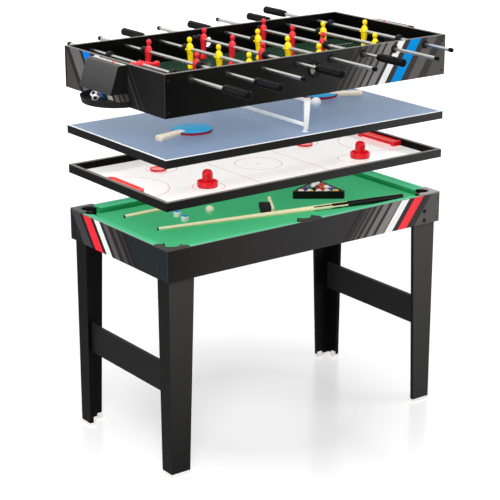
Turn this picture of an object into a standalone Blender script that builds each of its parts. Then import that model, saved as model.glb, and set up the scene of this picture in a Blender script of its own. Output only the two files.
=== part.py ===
"""Multi game table with its stack of lift-off tops shown raised above the pool base.

Metres, +Z up. X runs along the table, -Y is the long side that faces the viewer.
The origin is on the floor under the middle of the table. Every length is a named value
here at the top, and what seats on another piece takes its place from that piece's values.
"""

import math

import bmesh
import bpy
from mathutils import Matrix, Vector

# Footprint shared by the base and the three tops
TABLE_LENGTH = 1.240
TABLE_WIDTH = 0.640
PANEL_THICK = 0.012

# Clearances and overruns
GAP = 0.0003
OVERLAP = 0.001
CUT_OVER = 0.004

# Base: rail height, depth of the apron boards, and the bed inside them
RAIL_TOP = 0.844
APRON_DEPTH = 0.113
CLOTH_DROP = 0.029
BED_THICK = 0.012

# How far each top is lifted above what is below it, and how thick it is
HOCKEY_LIFT = 0.138
HOCKEY_THICK = 0.031
TENNIS_LIFT = 0.117
TENNIS_THICK = 0.029
BOX_LIFT = 0.140
BOX_DEPTH = 0.148

# Cushions
CUSHION_WIDTH = 0.030
CUSHION_DROP = 0.003
CUSHION_FALL = 0.003
CUSHION_NOSE = 0.009
CUSHION_UNDERCUT = 0.008
CUSHION_END_SPLAY = 0.014

# Pockets: cup, cover plate and mouth
POCKET_RADIUS = 0.0310
POCKET_WALL = 0.0030
POCKET_INSET = 0.040
POCKET_DEPTH = 0.087
POCKET_SEAT = 0.0010
COVER_THICK = 0.004
COVER_LENGTH = 0.092
COVER_BREADTH = 0.083
COVER_LAP = 0.015
SIDE_COVER_LENGTH = 0.094
MOUTH_STEP = 0.008
MOUTH_ROOM = 0.008
LIP_BELOW_CLOTH = 0.001
CORNER_MOUTH_START = math.radians(-50.0)
CORNER_MOUTH_END = math.radians(-220.0)
SIDE_MOUTH_START = math.radians(-15.0)
SIDE_MOUTH_END = math.radians(-165.0)

# Legs, foot caps and stretchers
LEG_THICK = 0.015
LEG_LONG_TOP = 0.107
LEG_LONG_FOOT = 0.078
LEG_SHORT_TOP = 0.072
LEG_SHORT_FOOT = 0.060
FOOT_THICK = 0.006
FOOT_RIM = 0.0015
FOOT_LUG_WIDTH = 0.020
FOOT_LUG_THICK = 0.008
FOOT_LUG_HEIGHT = 0.022
STRETCHER_LOW = 0.300
STRETCHER_DEPTH = 0.110
STRETCHER_THICK = 0.015

# Balls and triangle
BALL_RADIUS = 0.0165
BALL_FUSE = 0.0002
BALL_ROWS = 5
RACK_WALL = 0.005
RACK_HEIGHT = 0.030
RACK_SLACK = 0.0006
RACK_CORNER = 0.010
RACK_TURN = math.radians(-36.0)

# Cues
CUE_TIP_RADIUS = 0.0055
CUE_BUTT_RADIUS = 0.0110
CUE_FERRULE = 0.020
CUE_BUTT_ROUND = 0.004

# Brush, lying on its side: wooden back and handle in one, bristles out to one side
BRUSH_LENGTH = 0.165
BRUSH_BACK_LENGTH = 0.086
BRUSH_BREADTH = 0.021
BRUSH_BACK_THICK = 0.012
BRUSH_NECK_BREADTH = 0.009
BRUSH_TURN = math.radians(58.0)
BRISTLE_LENGTH = 0.040
BRISTLE_RADIUS = 0.0009
BRISTLE_MARGIN = 0.0018
BRISTLE_COLUMNS = 30
BRISTLE_ROWS = 10

# Hockey top
HOCKEY_RIM = 0.014
HOCKEY_WELL = 0.027
HOCKEY_PANEL_THICK = 0.0035
GOAL_WIDTH = 0.215
GOAL_DEPTH = 0.026
GOAL_HEIGHT = 0.018
GOAL_POST = 0.016
GOAL_ROOF = 0.006
GOAL_LIP = 0.003
GOAL_GROOVE = 0.003
PUSHER_RADIUS = 0.0370
PUSHER_RIM = 0.015
PUSHER_RIM_WALL = 0.006
PUSHER_FLOOR = 0.006
PUSHER_KNOB_RADIUS = 0.0165
PUSHER_HEIGHT = 0.062
PUSHER_DOME = 0.012
PUCK_RADIUS = 0.0310
PUCK_HEIGHT = 0.007
PUCK_RIM = 0.004
PUCK_DISH = 0.002

# Tennis top
TENNIS_RIM = 0.014
TENNIS_PANEL_THICK = 0.011
NET_HEIGHT = 0.122
NET_LOW = 0.014
NET_TAPE = 0.012
NET_THICK = 0.0016
NET_STRAND = 0.0016
NET_COLUMNS = 24
NET_ROWS = 5
POST_WIDTH = 0.012
POST_TOP_WIDTH = 0.034
POST_THICK = 0.012
CLAMP_LENGTH = 0.050
CLAMP_WIDTH = 0.026
CLAMP_THICK = 0.006
PADDLE_HEAD_LENGTH = 0.150
PADDLE_HEAD_WIDTH = 0.142
PADDLE_THICK = 0.011
PADDLE_HANDLE_LENGTH = 0.098
PADDLE_HANDLE_WIDTH = 0.030
PADDLE_HANDLE_THICK = 0.022
PADDLE_HANDLE_TAPER = 0.010
PADDLE_SIDES = 24
PADDLE_LEFT_TURN = math.radians(13.0)
PADDLE_RIGHT_TURN = math.radians(152.0)
TENNIS_BALL_RADIUS = 0.020

# Foosball box
FIELD_DROP = 0.105
FIELD_THICK = 0.006
ROD_COUNT = 8
ROD_AXIS_DROP = 0.026
ROD_RADIUS = 0.00625
ROD_RUNNING_GAP = 0.0007
BUSH_RADIUS = 0.0150
BUSH_THICK = 0.003
BALL_HOLE_RADIUS = 0.021
BALL_HOLE_DROP = 0.055
BALL_CUP_WALL = 0.005
BALL_CUP_DEPTH = 0.008
GOAL_MOUTH_WIDTH = 0.170
GOAL_MOUTH_HEIGHT = 0.062
HOOD_WIDTH = 0.204
HOOD_TOP_DROP = 0.003
HOOD_FOOT_RISE = 0.049
HOOD_REACH_TOP = 0.041
HOOD_REACH_LOW = 0.073
HOOD_WALL = 0.003
HOOD_EDGE = 0.004
TRAY_HALF_WIDTH = 0.125
TRAY_REACH = 0.110
TRAY_RISE = 0.004
TRAY_FLOOR_THICK = 0.003
TRAY_RIM_HEIGHT = 0.022
TRAY_DRAFT = 0.006
TRAY_SIDES = 16
BACK_PLATE_THICK = 0.003
FOOTBALL_RADIUS = 0.018

# Rods: reach outside the walls when centred, grip, end cap and bumpers
ROD_BARE_OUTSIDE = 0.165
ROD_GRIP_OUTSIDE = 0.305
GRIP_LENGTH = 0.132
GRIP_RADIUS = 0.0150
GRIP_GROOVE = 0.0022
GRIP_COLLAR_RADIUS = 0.0135
GRIP_COLLAR_LENGTH = 0.016
GRIP_NECK = 0.0105
GRIP_RIBS = 2
END_CAP_RADIUS = 0.0080
END_CAP_LENGTH = 0.014
BUMPER_RADIUS = 0.0150
BUMPER_LENGTH = 0.018
BUMPER_BORE_GAP = 0.0005
BUMPER_CLEAR = 0.0015
BUMPER_STOP = 0.001
MAN_DROP = 0.0715
MAN_RISE = 0.0450
MAN_WIDTH = 0.0280
MAN_DEPTH = 0.0230

# Facets
ROUND_SIDES = 10
RACKED_BALL_SIDES = 12
BALL_SIDES = 14
BALL_LEVELS = 8
POCKET_SIDES = 18
MAN_SIDES = 6
SMOOTH_ANGLE = math.radians(40.0)

# Shares of the sizes that they follow
HALF_SHARE = 0.5
THREE_QUARTER_SHARE = 0.75
# a man's cross-sections from boots to crown: share of drop or rise, of width, of depth
MAN_LEG_SHARES = ((1.0, 0.62, 1.0), (0.77, 0.66, 0.93), (0.68, 0.60, 0.56), (0.14, 0.89, 0.91))
MAN_BODY_SHARES = ((0.18, 1.0, 0.93), (0.38, 0.93, 0.74), (0.52, 0.36, 0.44), (0.80, 0.62, 0.74),
                   (1.0, 0.34, 0.38))
# shares of the table's length: rod spacing and cue
ROD_SPACING_SHARE = 0.1194
CUE_LENGTH_SHARE = 0.7984
# shares of the table's width: spacing of three men, of two, the lone man's bumpers, the net
TRIO_SPACING_SHARE = 0.281
PAIR_SPACING_SHARE = 0.469
GOALIE_BUMPER_SHARE = 0.3125
NET_SPAN_SHARE = 0.8906
# places on a table top: share of half its length, of half its width
RACK_PLACE_SHARES = (0.418, -0.116)
CUE_BALL_PLACE_SHARES = (-0.313, 0.119)
CUE_NEAR_SHARES = ((-0.748, -0.069), (0.819, -0.766))
CUE_FAR_SHARES = ((-0.769, 0.562), (0.826, 0.516))
BRUSH_PLACE_SHARES = (-0.006, -0.269)
PUSHER_PLACE_SHARES = ((-0.540, -0.469), (0.581, -0.484))
PUCK_PLACE_SHARES = ((-0.565, 0.437), (0.500, 0.360))
PADDLE_LEFT_PLACE_SHARES = (-0.798, -0.269)
PADDLE_RIGHT_PLACE_SHARES = (0.880, 0.187)
TENNIS_BALL_PLACE_SHARES = (0.440, 0.010)
# place of the football in its tray: share of the tray's reach, of its half width
FOOTBALL_PLACE_SHARES = (0.50, 0.22)
# for each rod: side of its grip, team, count of men, slide as a share of its travel, turn
ROD_SHARES = (
    (-1, "red", 1, -0.204, math.radians(-84.0)),
    (-1, "red", 2, 0.080, math.radians(4.0)),
    (1, "yellow", 3, -0.700, math.radians(-3.0)),
    (-1, "red", 3, 0.640, math.radians(3.0)),
    (1, "yellow", 3, -0.840, math.radians(-4.0)),
    (-1, "red", 3, 0.925, math.radians(2.0)),
    (1, "yellow", 2, -0.530, math.radians(-4.0)),
    (1, "yellow", 1, 0.204, math.radians(3.0)),
)

# Colours
BLACK = (0.012, 0.012, 0.012)
CHARCOAL = (0.025, 0.025, 0.027)
GREEN = (0.050, 0.440, 0.190)
FIELD_GREEN = (0.028, 0.075, 0.045)
BROWN_GREY = (0.110, 0.095, 0.090)
WHITE = (0.900, 0.900, 0.900)
RED = (0.740, 0.010, 0.020)
YELLOW = (0.950, 0.680, 0.010)
TENNIS_BLUE = (0.090, 0.160, 0.350)
CUE_WOOD = (0.860, 0.740, 0.500)
BRUSH_WOOD = (0.700, 0.550, 0.300)
PADDLE_BLUE = (0.040, 0.380, 0.650)
NET_WHITE = (0.850, 0.850, 0.850)

# What follows from the sizes above
HALF_LENGTH = TABLE_LENGTH / 2
HALF_WIDTH = TABLE_WIDTH / 2
ROD_SPACING = TABLE_LENGTH * ROD_SPACING_SHARE
CUE_LENGTH = TABLE_LENGTH * CUE_LENGTH_SHARE
TRIO_SPACING = TABLE_WIDTH * TRIO_SPACING_SHARE
PAIR_SPACING = TABLE_WIDTH * PAIR_SPACING_SHARE
GOALIE_BUMPER = TABLE_WIDTH * GOALIE_BUMPER_SHARE
NET_SPAN = TABLE_WIDTH * NET_SPAN_SHARE
ROD_BARE_REACH = HALF_WIDTH + ROD_BARE_OUTSIDE
ROD_GRIP_REACH = HALF_WIDTH + ROD_GRIP_OUTSIDE
APRON_BOTTOM = RAIL_TOP - APRON_DEPTH
CLOTH_TOP = RAIL_TOP - CLOTH_DROP
BED_BOTTOM = CLOTH_TOP - BED_THICK
HOCKEY_BOTTOM = RAIL_TOP + HOCKEY_LIFT
HOCKEY_TOP = HOCKEY_BOTTOM + HOCKEY_THICK
HOCKEY_SURFACE = HOCKEY_TOP - HOCKEY_WELL
TENNIS_BOTTOM = HOCKEY_TOP + TENNIS_LIFT
TENNIS_TOP = TENNIS_BOTTOM + TENNIS_THICK
BOX_BOTTOM = TENNIS_TOP + BOX_LIFT
BOX_TOP = BOX_BOTTOM + BOX_DEPTH
FIELD_TOP = BOX_TOP - FIELD_DROP
ROD_AXIS = BOX_TOP - ROD_AXIS_DROP
INNER_X = HALF_LENGTH - PANEL_THICK - GAP
INNER_Y = HALF_WIDTH - PANEL_THICK - GAP
POCKET_X = HALF_LENGTH - PANEL_THICK - POCKET_INSET
POCKET_Y = HALF_WIDTH - PANEL_THICK - POCKET_INSET
CUP_RADIUS = POCKET_RADIUS + POCKET_WALL
CUP_BOTTOM = RAIL_TOP - POCKET_DEPTH
COVER_LOW = RAIL_TOP + GAP
COVER_TOP = COVER_LOW + COVER_THICK
MOUTH_REACH = CUP_RADIUS + POCKET_INSET


def clear_scene():
    """Remove everything that the startup file holds."""
    for obj in list(bpy.data.objects):
        bpy.data.objects.remove(obj, do_unlink=True)


def mesh_of(verts, faces):
    """A mesh with its faces turned outwards."""
    mesh = bpy.data.meshes.new("shape")
    mesh.from_pydata([tuple(v) for v in verts], [], faces)
    shape = bmesh.new()
    shape.from_mesh(mesh)
    bmesh.ops.recalc_face_normals(shape, faces=shape.faces)
    shape.to_mesh(mesh)
    shape.free()
    return mesh


def stack(rings):
    """A closed skin through rings that all hold the same number of points."""
    sides = len(rings[0])
    verts = [point for ring in rings for point in ring]
    faces = [tuple(range(sides))]
    for level in range(len(rings) - 1):
        low = level * sides
        for i in range(sides):
            j = (i + 1) % sides
            faces.append((low + i, low + j, low + sides + j, low + sides + i))
    last = (len(rings) - 1) * sides
    faces.append(tuple(range(last, last + sides)))
    return mesh_of(verts, faces)


def prism(outline, low, high, axis="Z"):
    """An outline pushed along an axis. It is drawn in XY for Z, in XZ for Y and in YZ for X."""
    place = {
        "Z": lambda a, b, c: (a, b, c),
        "Y": lambda a, b, c: (a, c, b),
        "X": lambda a, b, c: (c, a, b),
    }[axis]
    return stack([[place(a, b, level) for a, b in outline] for level in (low, high)])


def box(low, high):
    """A block between two opposite corners."""
    (x0, y0, z0), (x1, y1, z1) = low, high
    return prism(((x0, y0), (x1, y0), (x1, y1), (x0, y1)), z0, z1)


def turned(profile, axis="Z", centre=(0.0, 0.0, 0.0), sides=ROUND_SIDES):
    """A profile of (radius, height) points turned round an axis through a centre."""
    place = {
        "Z": lambda r, a, h: (r * math.cos(a), r * math.sin(a), h),
        "Y": lambda r, a, h: (r * math.sin(a), h, r * math.cos(a)),
        "X": lambda r, a, h: (h, r * math.cos(a), r * math.sin(a)),
    }[axis]
    angles = [math.tau * i / sides for i in range(sides)]
    base = Vector(centre)
    return stack([[base + Vector(place(r, a, h)) for a in angles] for r, h in profile])


def tube(outer, inner, low, high, axis="Y", sides=ROUND_SIDES):
    """A ring between two radii."""
    over = CUT_OVER
    return joined([turned(((outer, low), (outer, high)), axis, sides=sides)],
                  [turned(((inner, low - over), (inner, high + over)), axis, sides=sides)])


def ball(radius, centre, sides=BALL_SIDES, levels=BALL_LEVELS):
    """A ball with a point at its top and bottom."""
    shape = bmesh.new()
    bmesh.ops.create_uvsphere(shape, u_segments=sides, v_segments=levels, radius=radius)
    bmesh.ops.translate(shape, verts=shape.verts, vec=Vector(centre))
    mesh = bpy.data.meshes.new("shape")
    shape.to_mesh(mesh)
    shape.free()
    return mesh


def moved(mesh, matrix):
    """The mesh carried by a matrix."""
    mesh.transform(matrix)
    return mesh


def together(meshes):
    """Shapes that don't touch each other, in one mesh."""
    shape = bmesh.new()
    for mesh in meshes:
        shape.from_mesh(mesh)
    whole = bpy.data.meshes.new("shape")
    shape.to_mesh(whole)
    shape.free()
    return whole


def joined(meshes, cuts=()):
    """One solid: the meshes added together, and the cuts taken away."""
    helpers = []
    for index, mesh in enumerate(list(meshes) + list(cuts)):
        helper = bpy.data.objects.new("helper_%d" % index, mesh)
        helper.hide_render = True
        helper.display_type = "WIRE"
        bpy.context.scene.collection.objects.link(helper)
        helpers.append(helper)
    base = helpers[0]
    for index, helper in enumerate(helpers[1:], start=1):
        modifier = base.modifiers.new("join", "BOOLEAN")
        modifier.operation = "UNION" if index < len(meshes) else "DIFFERENCE"
        modifier.solver = "EXACT"
        modifier.object = helper
    graph = bpy.context.evaluated_depsgraph_get()
    result = bpy.data.meshes.new_from_object(base.evaluated_get(graph))
    for helper in helpers:
        bpy.data.objects.remove(helper, do_unlink=True)
    return result


def node(name, mesh, colour, roughness_share=0.5, smooth=False):
    """Put a finished mesh in the scene under its name, with its own material."""
    obj = bpy.data.objects.new(name, mesh)
    bpy.context.scene.collection.objects.link(obj)
    material = bpy.data.materials.new(name)
    material.use_nodes = True
    shader = material.node_tree.nodes["Principled BSDF"]
    shader.inputs["Base Color"].default_value = (*colour, 1.0)
    shader.inputs["Roughness"].default_value = roughness_share
    obj.data.materials.clear()
    obj.data.materials.append(material)
    if smooth:
        for face in obj.data.polygons:
            face.use_smooth = True
        obj.data.set_sharp_from_angle(angle=SMOOTH_ANGLE)
    return obj


def placed(shares, level, turn=0.0):
    """A place on a table top, from shares of half its length and width."""
    spot = Matrix.Translation((shares[0] * HALF_LENGTH, shares[1] * HALF_WIDTH, level))
    return spot @ Matrix.Rotation(turn, 4, "Z")


def four_panels(names, low, high, cuts):
    """Two long panels over the full length and two short ones between them."""
    inner = HALF_WIDTH - PANEL_THICK - GAP
    corners = (
        ((-HALF_LENGTH, -HALF_WIDTH, low), (HALF_LENGTH, -HALF_WIDTH + PANEL_THICK, high)),
        ((-HALF_LENGTH, HALF_WIDTH - PANEL_THICK, low), (HALF_LENGTH, HALF_WIDTH, high)),
        ((-HALF_LENGTH, -inner, low), (-HALF_LENGTH + PANEL_THICK, inner, high)),
        ((HALF_LENGTH - PANEL_THICK, -inner, low), (HALF_LENGTH, inner, high)),
    )
    for name, (near, far) in zip(names, corners):
        adds, takes = cuts.get(name, ((), ()))
        panel = box(near, far)
        node(name, joined([panel, *adds], takes) if adds or takes else panel, CHARCOAL)


def make_base():
    """The pool base: aprons, bed with its cushions, pockets, legs and stretchers."""
    four_panels(("apron_front", "apron_back", "apron_left", "apron_right"), APRON_BOTTOM, RAIL_TOP, {})
    make_bed()
    for sx, side in ((-1, "left"), (1, "right")):
        for sy, face in ((-1, "front"), (1, "back")):
            make_corner_pocket("pocket_%s_%s" % (side, face), sx, sy)
            make_leg("leg_%s_%s" % (side, face), sx, sy)
        make_stretcher("stretcher_%s" % side, sx)
    for sy, face in ((-1, "front"), (1, "back")):
        make_side_pocket("pocket_middle_%s" % face, sy)


def cushion(wall, start, end, sign, axis):
    """A cushion along one wall, with its nose cut back at both ends."""
    top = RAIL_TOP - CUSHION_DROP
    nose = top - CUSHION_FALL
    low = CLOTH_TOP - OVERLAP
    undercut = wall - CUSHION_WIDTH + CUSHION_UNDERCUT
    outline = ((wall, low), (wall, top), (wall - CUSHION_WIDTH, nose),
               (wall - CUSHION_WIDTH, nose - CUSHION_NOSE), (undercut, low))
    rings = []
    for at, way in ((start, 1), (end, -1)):
        ring = []
        for across, height in outline:
            back = CUSHION_END_SPLAY * (wall - across) / CUSHION_WIDTH
            along = at + way * back
            place = (sign * across, along) if axis == "Y" else (along, sign * across)
            ring.append((*place, height))
        rings.append(ring)
    return stack(rings)


def make_bed():
    """The bed panel with six cushions on it, cut for the six cups."""
    adds = [box((-INNER_X, -INNER_Y, BED_BOTTOM), (INNER_X, INNER_Y, CLOTH_TOP))]
    half_side = SIDE_COVER_LENGTH / 2
    for sy in (-1, 1):
        adds.append(cushion(INNER_Y, half_side, HALF_LENGTH - COVER_LENGTH, sy, "X"))
        adds.append(cushion(INNER_Y, COVER_LENGTH - HALF_LENGTH, -half_side, sy, "X"))
    for sx in (-1, 1):
        adds.append(cushion(INNER_X, COVER_BREADTH - HALF_WIDTH, HALF_WIDTH - COVER_BREADTH, sx, "Y"))
    hole = CUP_RADIUS + POCKET_SEAT
    profile = ((hole, BED_BOTTOM - CUT_OVER), (hole, RAIL_TOP + CUT_OVER))
    cuts = [turned(profile, centre=(sx * POCKET_X, sy * POCKET_Y, 0.0), sides=POCKET_SIDES)
            for sx in (-1, 0, 1) for sy in (-1, 1)]
    node("bed", joined(adds, cuts), GREEN)


def pocket(name, centre, cover, mouth):
    """A cup with its cover. The mouth is the outline cut from the wall above the cloth."""
    cup = turned(((CUP_RADIUS, CUP_BOTTOM), (CUP_RADIUS, COVER_LOW + OVERLAP)),
                 centre=(*centre, 0.0), sides=POCKET_SIDES)
    plate = prism(cover, COVER_LOW, COVER_TOP)
    bore = turned(((POCKET_RADIUS, CUP_BOTTOM + POCKET_WALL), (POCKET_RADIUS, COVER_TOP + CUT_OVER)),
                  centre=(*centre, 0.0), sides=POCKET_SIDES)
    opening = prism(mouth, CLOTH_TOP - LIP_BELOW_CLOTH, COVER_TOP + CUT_OVER)
    node(name, joined([cup, plate], [bore, opening]), BROWN_GREY, smooth=True)


def arc(centre, radius, start, end, steps):
    """Points along a part of a circle."""
    angles = [start + (end - start) * i / steps for i in range(steps + 1)]
    return [(centre[0] + radius * math.cos(a), centre[1] + radius * math.sin(a)) for a in angles]


def make_corner_pocket(name, sx, sy):
    """A cup under an L-shaped cover, drawn from the table's corner inwards."""
    inset = PANEL_THICK + POCKET_INSET
    curve = arc((inset, inset), POCKET_RADIUS + OVERLAP, CORNER_MOUTH_START, CORNER_MOUTH_END, 12)
    cover = [(0.0, 0.0), (COVER_LENGTH, 0.0), (COVER_LENGTH, COVER_LAP), *curve,
             (COVER_LAP, COVER_BREADTH), (0.0, COVER_BREADTH)]
    near, far = inset - MOUTH_STEP, inset + MOUTH_REACH
    mouth = [(near, near), (far, near), (far, far), (near, far)]
    place = [[(sx * (HALF_LENGTH - u), sy * (HALF_WIDTH - v)) for u, v in shape] for shape in (cover, mouth)]
    pocket(name, (sx * POCKET_X, sy * POCKET_Y), *place)


def make_side_pocket(name, sy):
    """A cup under a half-moon cover at the middle of a long side."""
    inset = PANEL_THICK + POCKET_INSET
    half = SIDE_COVER_LENGTH / 2
    curve = arc((0.0, inset), POCKET_RADIUS + OVERLAP, SIDE_MOUTH_START, SIDE_MOUTH_END, 10)
    cover = [(-half, 0.0), (half, 0.0), (half, COVER_LAP), *curve, (-half, COVER_LAP)]
    near, far = inset - MOUTH_STEP, inset + MOUTH_REACH
    mouth = [(-far, near), (far, near), (far, far), (-far, far)]
    place = [[(u, sy * (HALF_WIDTH - v)) for u, v in shape] for shape in (cover, mouth)]
    pocket(name, (0.0, sy * POCKET_Y), *place)


def make_leg(name, sx, sy):
    """Two tapered boards at a right angle, notched round the cup, on a foot cap with lugs."""
    x, y, top = INNER_X, INNER_Y, BED_BOTTOM - GAP
    thin, rim = LEG_THICK, FOOT_RIM
    long_side = ((x, 0.0), (x, top), (x - LEG_LONG_TOP, top), (x - LEG_LONG_FOOT, 0.0))
    joint = y - thin + OVERLAP
    short_side = ((joint, 0.0), (joint, top), (y - LEG_SHORT_TOP, top), (y - LEG_SHORT_FOOT, 0.0))
    foot = ((x + rim, y + rim), (x - LEG_LONG_FOOT - rim, y + rim),
            (x - LEG_LONG_FOOT - rim, y - thin - rim), (x - thin - rim, y - thin - rim),
            (x - thin - rim, y - LEG_SHORT_FOOT - rim), (x + rim, y - LEG_SHORT_FOOT - rim))
    adds = [
        prism([(sx * a, b) for a, b in long_side], *sorted((sy * y, sy * (y - thin))), "Y"),
        prism([(sy * a, b) for a, b in short_side], *sorted((sx * x, sx * (x - thin))), "X"),
        prism([(sx * a, sy * b) for a, b in foot], 0.0, FOOT_THICK),
    ]
    reach = FOOT_LUG_THICK
    lugs = ((x - LEG_LONG_FOOT + FOOT_LUG_WIDTH, y - thin), (x - thin, y - LEG_SHORT_FOOT + FOOT_LUG_WIDTH))
    sizes = ((FOOT_LUG_WIDTH, reach), (reach, FOOT_LUG_WIDTH))
    for (a, b), (wide, deep) in zip(lugs, sizes):
        xs = sorted((sx * (a + OVERLAP), sx * (a - wide)))
        ys = sorted((sy * (b + OVERLAP), sy * (b - deep)))
        adds.append(box((xs[0], ys[0], 0.0), (xs[1], ys[1], FOOT_LUG_HEIGHT)))
    notch = CUP_RADIUS + POCKET_SEAT
    cup = turned(((notch, CUP_BOTTOM - POCKET_SEAT), (notch, top + CUT_OVER)),
                 centre=(sx * POCKET_X, sy * POCKET_Y, 0.0), sides=POCKET_SIDES)
    node(name, joined(adds, [cup]), CHARCOAL)


def make_stretcher(name, sx):
    """A board between the two legs of one end, behind their short sides."""
    x = INNER_X - LEG_THICK - GAP
    y = INNER_Y - LEG_THICK - GAP
    near, far = sorted((sx * x, sx * (x - STRETCHER_THICK)))
    node(name, box((near, -y, STRETCHER_LOW), (far, y, STRETCHER_LOW + STRETCHER_DEPTH)), CHARCOAL)


def make_pool_equipment():
    """Triangle, racked balls, cue ball, two cues and a brush, all lying on the cloth."""
    pitch = 2 * BALL_RADIUS - BALL_FUSE
    row = pitch * math.sqrt(3.0) / 2
    lift = BALL_RADIUS + GAP
    start = BALL_RADIUS + RACK_SLACK
    balls = []
    for line in range(BALL_ROWS):
        for place in range(BALL_ROWS - line):
            x = (place - (BALL_ROWS - 1 - line) / 2) * pitch
            balls.append(ball(BALL_RADIUS, (x, start + line * row, lift), RACKED_BALL_SIDES, RACKED_BALL_SIDES // 2))
    spot = placed(RACK_PLACE_SHARES, CLOTH_TOP, RACK_TURN)
    node("racked_balls", moved(joined(balls), spot), RED, smooth=True)
    half = (BALL_ROWS - 1) / 2 * pitch + start * math.sqrt(3.0)
    inner = [(-half, 0.0), (half, 0.0), (0.0, half * math.sqrt(3.0))]
    wide = half + RACK_WALL * math.sqrt(3.0)
    peak = wide * math.sqrt(3.0) - RACK_WALL
    cut, slope = RACK_CORNER, RACK_CORNER * math.sqrt(3.0)
    outer = [(-wide + cut, -RACK_WALL), (wide - cut, -RACK_WALL),
             (wide - cut / 2, -RACK_WALL + slope / 2), (cut / 2, peak - slope / 2),
             (-cut / 2, peak - slope / 2), (-wide + cut / 2, -RACK_WALL + slope / 2)]
    rack = joined([prism(outer, GAP, RACK_HEIGHT)], [prism(inner, -CUT_OVER, RACK_HEIGHT + CUT_OVER)])
    node("rack", moved(rack, spot), BLACK)
    spot = placed(CUE_BALL_PLACE_SHARES, CLOTH_TOP)
    node("cue_ball", moved(ball(BALL_RADIUS, (0.0, 0.0, lift)), spot), WHITE, smooth=True)
    make_cue("cue_near", *CUE_NEAR_SHARES)
    make_cue("cue_far", *CUE_FAR_SHARES)
    make_brush()


def make_cue(name, shares, aim):
    """A tapered cue that lies on the cloth, placed by its tip and pointed along the table."""
    turn = math.atan2((aim[1] - shares[1]) * HALF_WIDTH, (aim[0] - shares[0]) * HALF_LENGTH)
    profile = ((CUE_TIP_RADIUS, 0.0), (CUE_TIP_RADIUS, CUE_FERRULE),
               (CUE_BUTT_RADIUS, CUE_LENGTH - CUE_BUTT_ROUND),
               (CUE_BUTT_RADIUS - CUE_BUTT_ROUND, CUE_LENGTH))
    rise = math.asin((CUE_BUTT_RADIUS - CUE_TIP_RADIUS) / CUE_LENGTH)
    tilt = Matrix.Rotation(-rise, 4, "Y")
    spot = placed(shares, CLOTH_TOP + CUE_TIP_RADIUS + GAP, turn)
    node(name, moved(turned(profile, "X"), spot @ tilt), CUE_WOOD, smooth=True)


def make_brush():
    """A long-handled brush on its side: a waisted wooden back with bristles out to its left."""
    neck, half = BRUSH_NECK_BREADTH / 2, BRUSH_BREADTH / 2
    grip = BRUSH_LENGTH - BRUSH_BACK_LENGTH
    outline = ((0.0, -half), (BRUSH_BACK_LENGTH, -half), (BRUSH_BACK_LENGTH + grip / 4, -neck),
               (BRUSH_LENGTH - grip / 4, -neck), (BRUSH_LENGTH, -half * THREE_QUARTER_SHARE),
               (BRUSH_LENGTH, half * THREE_QUARTER_SHARE), (BRUSH_LENGTH - grip / 4, neck),
               (BRUSH_BACK_LENGTH + grip / 4, neck), (BRUSH_BACK_LENGTH, half), (0.0, half))
    lift = half + GAP
    back = prism([(a, b + lift) for a, b in outline], -BRUSH_BACK_THICK, 0.0, "Y")
    strands = []
    for column in range(BRISTLE_COLUMNS):
        along = BRISTLE_MARGIN + (BRUSH_BACK_LENGTH - 2 * BRISTLE_MARGIN) * column / (BRISTLE_COLUMNS - 1)
        for line in range(BRISTLE_ROWS):
            room = BRUSH_BREADTH - 2 * BRISTLE_MARGIN
            height = lift - half + BRISTLE_MARGIN + room * line / (BRISTLE_ROWS - 1)
            strands.append(strand(along, height))
    whole = joined([back, together(strands)])
    spot = placed(BRUSH_PLACE_SHARES, CLOTH_TOP, BRUSH_TURN)
    node("brush", moved(whole, spot), BRUSH_WOOD)


def strand(along, height):
    """One bristle: a three-sided spike from the face of the back."""
    angles = [math.tau * (i + HALF_SHARE) / 3 for i in range(3)]
    verts = [(along + BRISTLE_RADIUS * math.sin(a), -OVERLAP, height + BRISTLE_RADIUS * math.cos(a))
             for a in angles]
    verts.append((along, BRISTLE_LENGTH, height))
    return mesh_of(verts, [(0, 1, 2), (0, 1, 3), (1, 2, 3), (2, 0, 3)])


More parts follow.
